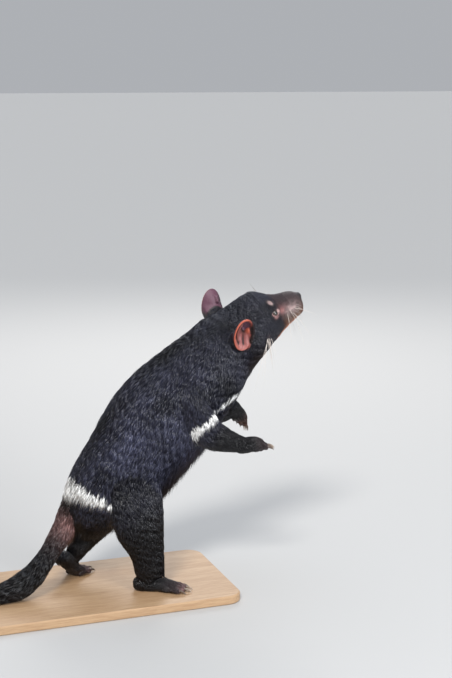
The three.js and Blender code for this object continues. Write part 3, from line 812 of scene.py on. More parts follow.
        # Painted sheen: how much of it each place gets, most on the flanks and shoulders, less on the head and thighs
        trunk = lie.weights[Part.TORSO] * smooth(0.08, 0.3, lie.share) * (1.0 - 0.5 * smooth(0.62, 0.85, lie.share))
        # Painted sheen: the flanks get more of it than the back and belly
        trunk = trunk * (0.35 + 0.65 * smooth(14.0, 48.0, np.abs(points[:, 1])))
        shoulders = lie.on_forelegs() * smooth(0.42, 0.12, lie.share)
        thighs = lie.on_hind_legs() * smooth(0.3, 0.0, lie.share)
        flank = np.clip(trunk + 0.28 * lie.weights[Part.HEAD] + 0.75 * shoulders + 0.25 * thighs, 0, 1)
        colour += (self.PAINTED_SHEEN - colour) * (flank * (0.35 + 0.5 * warm))[:, None]
        throat = (lie.weights[Part.HEAD] + lie.weights[Part.TORSO]) * bump_at(
            np.linalg.norm((head - (52, 0, -52)) / (1.2, 1.5, 0.8), axis=1), 34.0)
        colour += (self.BROWN - colour) * np.clip(throat * 1.1, 0, 1)[:, None]
        skin, bare, _ = self.bare(points, lie)
        colour += (skin - colour) * (bare * 0.92)[:, None]
        white = self.white(points)
        return colour + (self.WHITE - colour) * white[:, None]

    def skin(self, points: np.ndarray, lie: Lie) -> tuple:
        """The colour and gloss of the skin.

        Args:
            points: places in the pose frame.
            lie: the lie of the coat there.

        Returns:
            The colours, one row each, and the roughness.
        """
        skin, bare, gloss = self.bare(points, lie)
        under = self.BLACK * 0.8
        colour = under + (skin - under) * np.maximum(bare, 0.12)[:, None]
        white = self.white(points)
        return colour + (self.WHITE * 0.7 - colour) * (white * 0.8)[:, None], gloss


MARKINGS = Markings()


def make_material(name: str) -> tuple:
    """A new node material.

    Args:
        name: the material's name.

    Returns:
        The material, its nodes, its links and its Principled shader.
    """
    material = bpy.data.materials.new(name)
    material.use_nodes = True
    nodes, links = material.node_tree.nodes, material.node_tree.links
    return material, nodes, links, nodes["Principled BSDF"]


def add_node(nodes: bpy.types.Nodes, kind: str, **inputs: object) -> bpy.types.Node:
    """A new node with some of its inputs set, by names in which _ stands for a space.

    Args:
        nodes: the material's nodes.
        kind: the node's kind, without ShaderNode.
        inputs: the inputs' values.

    Returns:
        The node.
    """
    made = nodes.new("ShaderNode" + kind)
    for name, value in inputs.items():
        made.inputs[name.replace("_", " ")].default_value = value
    return made


def set_ramp(ramp: bpy.types.Node, ends: tuple, colours: tuple) -> None:
    """Sets the places and colours of both ends of a colour ramp."""
    for element, place, colour in zip(ramp.color_ramp.elements, ends, colours):
        element.position, element.color = place, colour


@dataclass(frozen=True)
class Mottle:
    """A piece's own tints made a little uneven by noise, through a ramp from dark to light."""

    scale: float
    detail: float
    dark: tuple
    light: tuple
    ends: tuple
    share: float
    roughness: float = 0.5

    def lay(self, nodes: bpy.types.Nodes, links: bpy.types.NodeLinks, shader: bpy.types.Node) -> bpy.types.Node:
        """Colours a shader by the tints and the noise.

        Args:
            nodes: the material's nodes.
            links: the material's links.
            shader: the material's shader.

        Returns:
            The noise, for what else the material makes of it.
        """
        tint = add_node(nodes, "Attribute")
        tint.attribute_name = TINT
        place = add_node(nodes, "TexCoord")
        noise = add_node(nodes, "TexNoise", Scale=self.scale, Detail=self.detail, Roughness=self.roughness)
        shade = add_node(nodes, "ValToRGB")
        set_ramp(shade, self.ends, (self.dark, self.light))
        uneven = add_node(nodes, "Mix", Factor=self.share)
        uneven.data_type, uneven.blend_type = "RGBA", "MULTIPLY"
        links.new(place.outputs["Object"], noise.inputs["Vector"])
        links.new(noise.outputs["Fac"], shade.inputs["Fac"])
        links.new(tint.outputs["Color"], uneven.inputs["A"])
        links.new(shade.outputs["Color"], uneven.inputs["B"])
        links.new(uneven.outputs["Result"], shader.inputs["Base Color"])
        return noise


@dataclass(frozen=True)
class HideFinish:
    """Skin: its own tints, mottled, with fine wrinkles and pores."""

    name: str = "hide"
    wrinkles: Mottle = Mottle(420.0, 6.0, (0.55, 0.5, 0.5, 1), (1.25, 1.2, 1.2, 1), (0.3, 0.7), 0.55, 0.65)
    pore_scale: float = 1500.0
    pore_depth: float = 0.4
    bump: float = 0.00035
    bump_strength: float = 0.9
    specular: float = 0.45

    def build(self) -> bpy.types.Material:
        """Makes the material.

        Returns:
            The material.
        """
        material, nodes, links, shader = make_material(self.name)
        wrinkles = self.wrinkles.lay(nodes, links, shader)
        gloss = add_node(nodes, "Attribute")
        gloss.attribute_name = GLOSS
        place = add_node(nodes, "TexCoord")
        pores = add_node(nodes, "TexVoronoi", Scale=self.pore_scale)
        total = add_node(nodes, "Math")
        total.operation = "MULTIPLY_ADD"
        total.inputs[1].default_value = self.pore_depth
        bump = add_node(nodes, "Bump", Distance=self.bump, Strength=self.bump_strength)
        links.new(place.outputs["Object"], pores.inputs["Vector"])
        links.new(gloss.outputs["Fac"], shader.inputs["Roughness"])
        links.new(pores.outputs["Distance"], total.inputs[0])
        links.new(wrinkles.outputs["Fac"], total.inputs[2])
        links.new(total.outputs["Value"], bump.inputs["Height"])
        links.new(bump.outputs["Normal"], shader.inputs["Normal"])
        shader.inputs["Specular IOR Level"].default_value = self.specular
        return material


@dataclass(frozen=True)
class CoatFinish:
    """Hair: its own tints, a little uneven, with a soft gloss."""

    name: str = "coat"
    roughness: float = 0.3
    specular: float = 0.5
    grain: Mottle = Mottle(160.0, 3.0, (0.7, 0.7, 0.7, 1), (1.2, 1.2, 1.2, 1), (0.25, 0.75), 0.6)

    def build(self) -> bpy.types.Material:
        """Makes the material.

        Returns:
            The material.
        """
        material, nodes, links, shader = make_material(self.name)
        self.grain.lay(nodes, links, shader)
        shader.inputs["Roughness"].default_value = self.roughness
        shader.inputs["Specular IOR Level"].default_value = self.specular
        return material


@dataclass(frozen=True)
class TintedFinish:
    """A plain surface that takes its colour from its own tints: claws, whiskers and eyes."""

    name: str
    roughness: float
    specular: float = 0.5
    wet: float = 0.0
    wet_roughness: float = 0.03
    streaks: Mottle = Mottle(700.0, 4.0, (0.75, 0.75, 0.75, 1), (1.15, 1.15, 1.15, 1), (0.0, 1.0), 0.7)

    def build(self) -> bpy.types.Material:
        """Makes the material.

        Returns:
            The material.
        """
        material, nodes, links, shader = make_material(self.name)
        self.streaks.lay(nodes, links, shader)
        shader.inputs["Roughness"].default_value = self.roughness
        shader.inputs["Specular IOR Level"].default_value = self.specular
        shader.inputs["Coat Weight"].default_value = self.wet
        shader.inputs["Coat Roughness"].default_value = self.wet_roughness
        return material


@dataclass(frozen=True)
class BoardFinish:
    """Varnished wood, its grain along the board."""

    name: str = "board"
    light: tuple = (0.56, 0.39, 0.235, 1)
    dark: tuple = (0.30, 0.175, 0.09, 1)
    roughness: float = 0.42

    def build(self) -> bpy.types.Material:
        """Makes the material.

        Returns:
            The material.
        """
        material, nodes, links, shader = make_material(self.name)
        place = add_node(nodes, "TexCoord")
        stretch = add_node(nodes, "Mapping", Scale=(1.6, 26.0, 26.0), Rotation=(0.12, 0.02, 0.03))
        rings = add_node(nodes, "TexNoise", Scale=1.3, Detail=2.0, Distortion=1.2)
        fibres = add_node(nodes, "TexNoise", Scale=18.0, Detail=8.0, Roughness=0.7)
        joined = add_node(nodes, "Math")
        joined.operation = "MULTIPLY_ADD"
        joined.inputs[1].default_value = 0.45
        colours = add_node(nodes, "ValToRGB")
        set_ramp(colours, (0.3, 0.95), (self.light, self.dark))
        bump = add_node(nodes, "Bump", Distance=0.0003, Strength=0.5)
        rough = add_node(nodes, "MapRange", To_Min=self.roughness - 0.08, To_Max=self.roughness + 0.14)
        links.new(place.outputs["Object"], stretch.inputs["Vector"])
        links.new(stretch.outputs["Vector"], rings.inputs["Vector"])
        links.new(stretch.outputs["Vector"], fibres.inputs["Vector"])
        links.new(rings.outputs["Fac"], joined.inputs[0])
        links.new(fibres.outputs["Fac"], joined.inputs[2])
        links.new(joined.outputs["Value"], colours.inputs["Fac"])
        links.new(colours.outputs["Color"], shader.inputs["Base Color"])
        links.new(joined.outputs["Value"], bump.inputs["Height"])
        links.new(joined.outputs["Value"], rough.inputs["Value"])
        links.new(rough.outputs["Result"], shader.inputs["Roughness"])
        links.new(bump.outputs["Normal"], shader.inputs["Normal"])
        return material


@dataclass(frozen=True)
class FloorFinish:
    """A plain pale floor."""

    name: str = "pale_floor"
    colour: tuple = (0.45, 0.445, 0.435, 1)

    def build(self) -> bpy.types.Material:
        """Makes the material.

        Returns:
            The material.
        """
        material, _, _, shader = make_material(self.name)
        shader.inputs["Base Color"].default_value = self.colour
        shader.inputs["Roughness"].default_value = 0.85
        return material


def mesh_arrays(mesh: bpy.types.Mesh) -> tuple:
    """The points of a mesh.

    Args:
        mesh: the mesh.

    Returns:
        The places in metres and the normals, one row each.
    """
    places = np.empty(len(mesh.vertices) * 3)
    normals = np.empty(len(mesh.vertices) * 3)
    mesh.vertices.foreach_get("co", places)
    mesh.vertices.foreach_get("normal", normals)
    return places.reshape(-1, 3), normals.reshape(-1, 3)


def triangles_of(mesh: bpy.types.Mesh) -> tuple:
    """The triangles of a mesh, sorted by place, because the order in which a union stores them varies between runs.

    Args:
        mesh: the mesh.

    Returns:
        The places of its points in metres, and three point numbers for each triangle.
    """
    mesh.calc_loop_triangles()
    corners = np.empty(len(mesh.loop_triangles) * 3, np.int32)
    mesh.loop_triangles.foreach_get("vertices", corners)
    places, order = np.unique(mesh_arrays(mesh)[0][corners], axis=0, return_inverse=True)
    corners = order.reshape(-1, 3)
    turned = (corners.argmin(axis=1)[:, None] + np.arange(3)) % 3
    corners = np.take_along_axis(corners, turned, axis=1)
    return places, corners[np.lexsort(corners.T[::-1])]


def paint_mesh(mesh: bpy.types.Mesh, colour: np.ndarray, gloss: np.ndarray | None = None) -> None:
    """Stores a colour for each point of a mesh, and a gloss if there is one.

    Args:
        mesh: the mesh.
        colour: a linear colour for each point.
        gloss: a roughness for each point, where the finish reads it.
    """
    rgba = np.ones((len(mesh.vertices), 4), np.float32)
    rgba[:, :3] = np.clip(colour, 0.0, 1.0)
    mesh.attributes.new(TINT, "FLOAT_COLOR", "POINT").data.foreach_set("color", rgba.ravel())
    if gloss is not None:
        mesh.attributes.new(GLOSS, "FLOAT", "POINT").data.foreach_set("value", gloss.astype(np.float32))


def placed(name: str, data: bpy.types.ID) -> bpy.types.Object:
    """A new object in the scene, made of data.

    Args:
        name: its name.
        data: its mesh, light or camera.

    Returns:
        The object.
    """
    made = bpy.data.objects.new(name, data)
    bpy.context.scene.collection.objects.link(made)
    return made


def finish_piece(name: str, mesh: bpy.types.Mesh, material: bpy.types.Material) -> bpy.types.Object:
    """Puts a finished mesh into the scene as a piece that rides on the body.

    Args:
        name: the piece's name.
        mesh: its mesh, in place.
        material: its finish.

    Returns:
        The piece.
    """
    mesh.name = name
    mesh.materials.clear()
    mesh.materials.append(material)
    mesh.shade_smooth()
    piece = placed(name, mesh)
    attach(piece, BODY)
    LOG.info("%s: %d points, %d faces", name, len(mesh.vertices), len(mesh.polygons))
    return piece


def mesh_of(bm: bmesh.types.BMesh, name: str) -> bpy.types.Mesh:
    """A mesh made from a bmesh, which is freed.

    Args:
        bm: the bmesh.
        name: the mesh's name.

    Returns:
        The mesh.
    """
    mesh = bpy.data.meshes.new(name)
    bm.to_mesh(mesh)
    bm.free()
    return mesh


def modified(mesh: bpy.types.Mesh, kind: str, **settings: object) -> bpy.types.Mesh:
    """A copy of a mesh with one modifier applied.

    Args:
        mesh: the mesh to start from.
        kind: the modifier's kind.
        settings: the modifier's settings, by name.

    Returns:
        The new mesh.
    """
    carrier = placed("carrier", mesh)
    modifier = carrier.modifiers.new(kind.lower(), kind)
    for name, value in settings.items():
        setattr(modifier, name, value)
    graph = bpy.context.evaluated_depsgraph_get()
    result = bpy.data.meshes.new_from_object(carrier.evaluated_get(graph))
    bpy.data.objects.remove(carrier)
    return result


def remeshed(mesh: bpy.types.Mesh, size: float) -> bpy.types.Mesh:
    """One closed skin round everything in a mesh, with faces of about size metres."""
    return modified(mesh, "REMESH", mode="VOXEL", voxel_size=size)


def fused(mesh: bpy.types.Mesh, other: bpy.types.Mesh) -> bpy.types.Mesh:
    """Two closed meshes fused into one.

    Args:
        mesh: the first mesh.
        other: the mesh that is joined to it.

    Returns:
        The new mesh.
    """
    tool = placed("tool", other)
    result = modified(mesh, "BOOLEAN", operation="UNION", object=tool, solver="MANIFOLD")
    bpy.data.objects.remove(tool)
    return result


def smoothed(bm: bmesh.types.BMesh, rounds: int, verts: list | None = None) -> None:
    """Smooths a bmesh, or only some of its points, so many times over."""
    for _ in range(rounds):
        bmesh.ops.smooth_vert(
            bm, verts=verts or bm.verts, factor=0.5, use_axis_x=True, use_axis_y=True, use_axis_z=True)


@dataclass
class Tube:
    """A closed tube through stations, each a middle, half width, and half heights above and below."""

    rows: list
    topwards: tuple = (0.0, 0.0, 1.0)
    sides: int = 20
    steps: int = 16

    def build(self, bm: bmesh.types.BMesh, frame_of: Callable | None = None) -> None:
        """Adds the tube to a bmesh.

        Args:
            bm: the bmesh.
            frame_of: a function from the stations' frame in millimetres to metres in the scene.
        """
        part = bmesh.new()
        bmesh.ops.create_cone(
            part, cap_ends=True, cap_tris=False, segments=self.sides, radius1=1.0, radius2=1.0, depth=1.0)
        upright = [e for e in part.edges if abs(e.verts[0].co.z - e.verts[1].co.z) > 0.5]
        bmesh.ops.subdivide_edges(part, edges=upright, cuts=self.steps - 1)
        places = np.array([v.co for v in part.verts])
        share = places[:, 2] + 0.5
        middles = np.array([r[0] for r in self.rows], float)
        at = catmull_rom(middles, share)
        ahead, behind = np.minimum(share + 0.01, 1.0), np.maximum(share - 0.01, 0.0)
        along = unit(catmull_rom(middles, ahead) - catmull_rom(middles, behind))
        left = unit(np.cross(np.array(self.topwards, float), along))
        up = np.cross(along, left)
        size = np.maximum(catmull_rom(np.array([r[1:] for r in self.rows], float), share), 0.05)
        tall = np.where(places[:, 1] > 0, size[:, 1], size[:, 2])
        points = at + left * (places[:, 0] * size[:, 0])[:, None] + up * (places[:, 1] * tall)[:, None]
        points = frame_of(points) if frame_of else POSE.to_scene(points)
        for vert, point in zip(part.verts, points):
            vert.co = point
        bmesh.ops.recalc_face_normals(part, faces=part.faces)
        mesh = mesh_of(part, "tube")
        bm.from_mesh(mesh)
        bpy.data.meshes.remove(mesh)


@dataclass
class Ball:
    """An ellipsoid in a frame of its own."""

    at: tuple
    radii: tuple
    rows: int = 12

    def build(self, bm: bmesh.types.BMesh, frame_of: Callable) -> None:
        """Adds the ellipsoid to a bmesh.

        Args:
            bm: the bmesh.
            frame_of: a function from its frame to the scene.
        """
        made = bmesh.ops.create_uvsphere(bm, u_segments=self.rows * 2, v_segments=self.rows, radius=1.0)["verts"]
        places = np.array([v.co for v in made]) * np.array(self.radii, float) + np.array(self.at, float)
        for vert, point in zip(made, frame_of(places)):
            vert.co = point


@dataclass(frozen=True)
class FootFrame:
    """Where a foot or paw is: its root, the way it points and its upper side."""

    at: tuple
    forward: tuple
    dorsal: tuple

    def axes(self) -> np.ndarray:
        """The foot's forward, left and upward axes.

        Returns:
            One axis in each row.
        """
        x = unit(np.array(self.forward, float))
        y = unit(np.cross(np.array(self.dorsal, float), x))
        return np.array([x, y, np.cross(x, y)])

    def to_scene(self, points: np.ndarray) -> np.ndarray:
        """Scene places of points in the foot's frame."""
        return POSE.to_scene(np.asarray(points, float) @ self.axes() + np.array(self.at, float))


@dataclass
class Toe:
    """One toe and its claw, in its foot's frame."""

    root: tuple
    turn: float
    length: float
    radius: float
    drop: float
    claw: float

    def ahead(self, far: float, lower: float) -> tuple:
        """A point along the toe."""
        x, y, z = self.root
        return x + far * math.cos(self.turn), y + far * math.sin(self.turn), z - lower

    def flesh(self, bm: bmesh.types.BMesh, foot: FootFrame) -> None:
        """Adds the toe, with a knuckle, a ball and a pad.

        Args:
            bm: the bmesh.
            foot: the foot's frame.
        """
        r, far, drop = self.radius, self.length, self.drop
        Tube(
            [
                (self.ahead(-r * 2.4, 0.0), r * 0.9, r * 0.9, r * 0.9),
                (self.ahead(-r * 0.4, -0.4), r * 0.92, r * 0.95, r * 0.9),
                (self.ahead(far * 0.3, -0.5), r * 0.9, r * 0.95, r * 0.95),
                (self.ahead(far * 0.55, drop * 0.35), r * 0.82, r * 0.8, r * 0.9),
                (self.ahead(far * 0.82, drop * 0.7), r * 0.9, r * 0.8, r),
                (self.ahead(far * 1.02, drop), r * 0.62, r * 0.5, r * 0.7),
            ],
            sides=14,
            steps=14,
        ).build(bm, foot.to_scene)
        Ball(self.ahead(far * 0.78, drop * 0.7 + r * 0.42), (r * 0.95, r * 0.78, r * 0.6)).build(bm, foot.to_scene)

    def nail(self, bm: bmesh.types.BMesh, foot: FootFrame) -> None:
        """Adds the claw: deep at its root, curved, with a sharp tip.

        Args:
            bm: the bmesh.
            foot: the foot's frame.
        """
        far, drop, claw = self.length, self.drop, self.claw
        Tube(
            [
                (self.ahead(far * 0.62, drop * 0.35), 1.6, 1.9, 1.9),
                (self.ahead(far + claw * 0.05, drop * 0.55 - 0.3), 1.6, 2.1, 2.1),
                (self.ahead(far + claw * 0.4, drop * 0.7), 1.35, 1.8, 1.7),
                (self.ahead(far + claw * 0.75, drop + claw * 0.12), 0.9, 1.2, 1.0),
                (self.ahead(far + claw, drop + claw * 0.3), 0.18, 0.25, 0.2),
            ],
            sides=12,
            steps=14,
        ).build(bm, foot.to_scene)


@dataclass
class Paw:
    """A forepaw or hind foot: palm or sole, toes, pads and claws."""

    name: str
    foot: FootFrame
    body: list
    toes: list
    pads: list
    extra: list = field(default_factory=list)
    fineness: float = 1.1
    smoothings: int = 3

    def flesh(self) -> bpy.types.Mesh:
        """The paw's skin, fused into one closed surface.

        Returns:
            The mesh.
        """
        bm = bmesh.new()
        Tube(self.body, sides=24, steps=24).build(bm, self.foot.to_scene)
        for tube in self.extra:
            tube.build(bm)
        for toe in self.toes:
            toe.flesh(bm, self.foot)
        for at, radii in self.pads:
            Ball(at, radii).build(bm, self.foot.to_scene)
        skin = remeshed(mesh_of(bm, self.name), self.fineness * MM)
        bm = bmesh.new()
        bm.from_mesh(skin)
        smoothed(bm, self.smoothings)
        return mesh_of(bm, self.name)

    def nails(self) -> bpy.types.Mesh:
        """The claws of the paw in one mesh.

        Returns:
            The mesh.
        """
        bm = bmesh.new()
        for toe in self.toes:
            toe.nail(bm, self.foot)
        return mesh_of(bm, self.name)


def forepaw(side: str) -> Paw:
    """A forepaw: a short palm with five long toes, hung from the wrist.

    Args:
        side: right or left.

    Returns:
        The paw.
    """
    if side == "right":
        wrist, forward, dorsal, curl = (191.3, -64.0, 233.0), (0.98, 0.08, -0.02), (0.02, 0, 1), 0.18
    else:
        wrist, forward, dorsal, curl = (213.3, 54.0, 266.0), (0.6, 0.34, -0.72), (0.74, 0.1, 0.66), 0.25
    toes = []
    for i, across in enumerate((-13.0, -6.6, 0.0, 6.6, 12.6)):
        outer = abs(i - 2)
        toes.append(Toe((25.6 - outer * 2.4, across, -1.5), across * 0.012, 13.0 - outer, 4.9 - outer * 0.25,
                        13.0 * curl, 15.0 - outer * 1.2))
    body = [
        ((-14, 0, 0), 11.5, 11.5, 11.5),
        ((0, 0, 0), 12.2, 12.2, 12.2),
        ((12.2, 0, 0), 14.2, 12.8, 10.6),
        ((23, 0, -1), 16.2, 11.0, 9.2),
        ((29.7, 0, -2), 12.6, 6.5, 5.7),
    ]
    pads = [((13, -7.5, -7.5), (6.5, 5.5, 3.6)), ((13, 7.5, -7.5), (6.5, 5.5, 3.6)), ((24, -7, -8), (4.5, 4.5, 3.2)),
            ((25.5, 0, -8.2), (4.5, 4.0, 3.2)), ((24, 7, -8), (4.5, 4.5, 3.2))]
    return Paw(f"forepaw_{side}", FootFrame(wrist, forward, dorsal), body, toes, pads)


def hind_foot(side: str) -> Paw:
    """A hind foot: a long sole with four toes, flat on the ground or with its heel raised.

    Args:
        side: right or left.

    Returns:
        The foot.
    """
    if side == "right":
        heel, forward, raised = (-6.0, -56.0, 0.0), (0.895, -0.446, 0.0), 0.0
        ankle = ((19, -66, 46), (19, -66, 24), (18, -67, 12))
        sizes = ((17, 20, 20), (16, 20, 20), (13, 15, 14))
    else:
        heel, forward, raised = (-126.0, 6.0, 0.0), (0.76, 0.65, 0.0), 43.0
        ankle = ((-68, 38, 65), (-80, 33, 54), (-92, 33, 32))
        sizes = ((14, 17, 17), (14, 17, 16), (10, 12, 11))
    ball, lean = 60.2, math.radians(raised)
    body = []
    for (x, z), side_size, top, bottom in (
        ((1, 9), 7, 6, 6), ((7, 10), 12, 11, 10), ((22, 11), 14.2, 12.6, 12), ((40, 10), 14.2, 11.6, 11),
        ((54, 9), 16.6, 9.6, 9.6), ((70, 7.5), 15.6, 5.7, 7.6),
    ):
        behind = max(0.0, ball - x)
        turned = lean if behind > 0 else 0.0
        at = (x + behind * (1 - math.cos(turned)) - z * math.sin(turned) * 0.5, 0.0, z + behind * math.sin(turned))
        body.append((at, side_size, top, bottom))
    toes = []
    for i, across in enumerate((-13.5, -4.6, 4.4, 13.0)):
        outer = int(abs(i - 1.5))
        toes.append(Toe((66.0 - outer * 4, across, 6.3), across * 0.012, 20.0 - outer * 3, 5.3 - outer * 0.5, 1.5,
                        13.0 - outer))
    pads = [((62, 0, 3.4), (8, 12, 3.2)), ((58, -10, 3.6), (6, 6, 3.2)), ((58, 10, 3.6), (6, 6, 3.2))]
    shank = Tube([(a, *s) for a, s in zip(ankle, sizes)], topwards=(1.0, 0.0, 0.3), sides=22, steps=8)
    return Paw(f"hind_foot_{side}", FootFrame(heel, forward, (0, 0, 1)), body, toes, pads, [shank])


@dataclass
class Ear:
    """An ear, modelled from a ball whose poles are the middles of its hollow and of its back."""

    sign: float
    shape: EarShape = EAR
    segments: int = 88
    rings: int = 52

    def build(self) -> bpy.types.Mesh:
        """The ear's closed skin, its root reaching into the head.

        Returns:
            The mesh.
        """
        bm = bmesh.new()
        made = bmesh.ops.create_uvsphere(bm, u_segments=self.segments, v_segments=self.rings, radius=1.0)["verts"]
        ball = np.array([v.co for v in made])
        centre, forward, up, opens, half = self.shape.axes(self.sign)
        front = ball[:, 2]
        r = np.hypot(ball[:, 0], ball[:, 1])
        turn = np.arctan2(ball[:, 1], ball[:, 0])
        x, y = r * np.cos(turn), r * np.sin(turn)
        inward = 1 - r**2
        wide = 1 - self.shape.narrowing * np.maximum(0, y)
        wall = self.shape.wall * (0.7 + 0.6 * inward) * front
        rooted = smooth(-self.shape.root_top, self.shape.root_full, -y) * np.clip(-2 * front, 0, 1)
        out = wall - self.shape.hollow * inward - rooted * self.shape.root_depth
        out += self.shape.relief(x, y) * smooth(0.0, 0.25, front)
        places = (
            centre + forward * (x * wide * self.shape.width / 2)[:, None] + up * (y * half)[:, None]
            + opens * out[:, None]
        )
        for vert, point in zip(made, POSE.to_scene(POSE.from_head(places))):
            vert.co = point
        bmesh.ops.recalc_face_normals(bm, faces=bm.faces)
        return mesh_of(bm, "ear")


@dataclass
class Eye:
    """An eyeball and the lids round it."""

    IRIS = np.array([0.045, 0.022, 0.012])
    WHITE = np.array([0.012, 0.009, 0.009])
    side: str
    shape: EyeShape = EYE

    def lids(self) -> bpy.types.Mesh:
        """The rim of the lids, an almond ring that lies on the eyeball.

        Returns:
            The mesh.
        """
        at, outward, forward, up = self.shape.axes(SIDES[self.side])
        turns = np.linspace(0.0, 2.0 * math.pi, self.shape.lid_steps, endpoint=False)
        a, b = self.shape.opening
        bm = bmesh.new()
        loops = []
        for turn in turns:
            across, rise = a * math.cos(turn), b * math.sin(turn)
            across *= 1.0 + 0.16 * math.cos(turn) ** 4
            flat = across * forward + rise * up
            on_ball = unit(flat + outward * math.sqrt(max(self.shape.radius**2 - across**2 - rise**2, 4.0)))
            away = unit(flat - flat @ on_ball * on_ball)
            middle = at + on_ball * (self.shape.radius + 0.35)
            ring = bmesh.ops.create_circle(bm, segments=self.shape.lid_sides, radius=1.0)["verts"]
            for vert, angle in zip(ring, np.linspace(0, 2 * math.pi, self.shape.lid_sides, endpoint=False)):
                thick = 1.15 if rise > 0 else 0.95
                outside = 0.5 + 0.5 * math.cos(angle)
                point = middle + away * (1.5 * math.cos(angle) + 1.1) * (0.6 + 0.7 * outside)
                point += on_ball * (math.sin(angle) * thick - 0.9 * outside)
                vert.co = POSE.to_scene(POSE.from_head(point[None]))[0]
            loops.append(ring)
        for i, ring in enumerate(loops):
            following = loops[(i + 1) % len(loops)]
            for k in range(self.shape.lid_sides):
                j = (k + 1) % self.shape.lid_sides
                bm.faces.new((ring[k], ring[j], following[j], following[k]))
        bmesh.ops.recalc_face_normals(bm, faces=bm.faces)
        return mesh_of(bm, "lids")

    def ball(self, material: bpy.types.Material) -> bpy.types.Object:
        """The eyeball: dark brown with a black pupil, wet.

        Args:
            material: its finish.

        Returns:
            The piece.
        """
        at, outward, _, _ = self.shape.axes(SIDES[self.side])
        bm = bmesh.new()
        made = bmesh.ops.create_uvsphere(bm, u_segments=48, v_segments=32, radius=1.0)["verts"]
        ways = np.array([v.co for v in made])
        facing = ways @ outward
        bulge = 1.0 + 0.055 * smooth(0.72, 0.95, facing)
        places = at + ways * bulge[:, None] * (self.shape.radius - 0.05)
        for vert, point in zip(made, POSE.to_scene(POSE.from_head(places))):
            vert.co = point
        mesh = mesh_of(bm, f"eye_{self.side}")
        edge = np.arccos(np.clip(facing, -1, 1))
        colour = np.tile(self.WHITE, (len(ways), 1))
        colour += (self.IRIS - colour) * (smooth(0.80, 0.70, edge) * smooth(0.40, 0.50, edge))[:, None]
        colour *= (1.0 - 0.8 * smooth(0.45, 0.38, edge))[:, None]
        paint_mesh(mesh, colour)
        piece = finish_piece(f"eyeball_{self.side}", mesh, material)
        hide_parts(f"eye_{self.side}")
        return piece


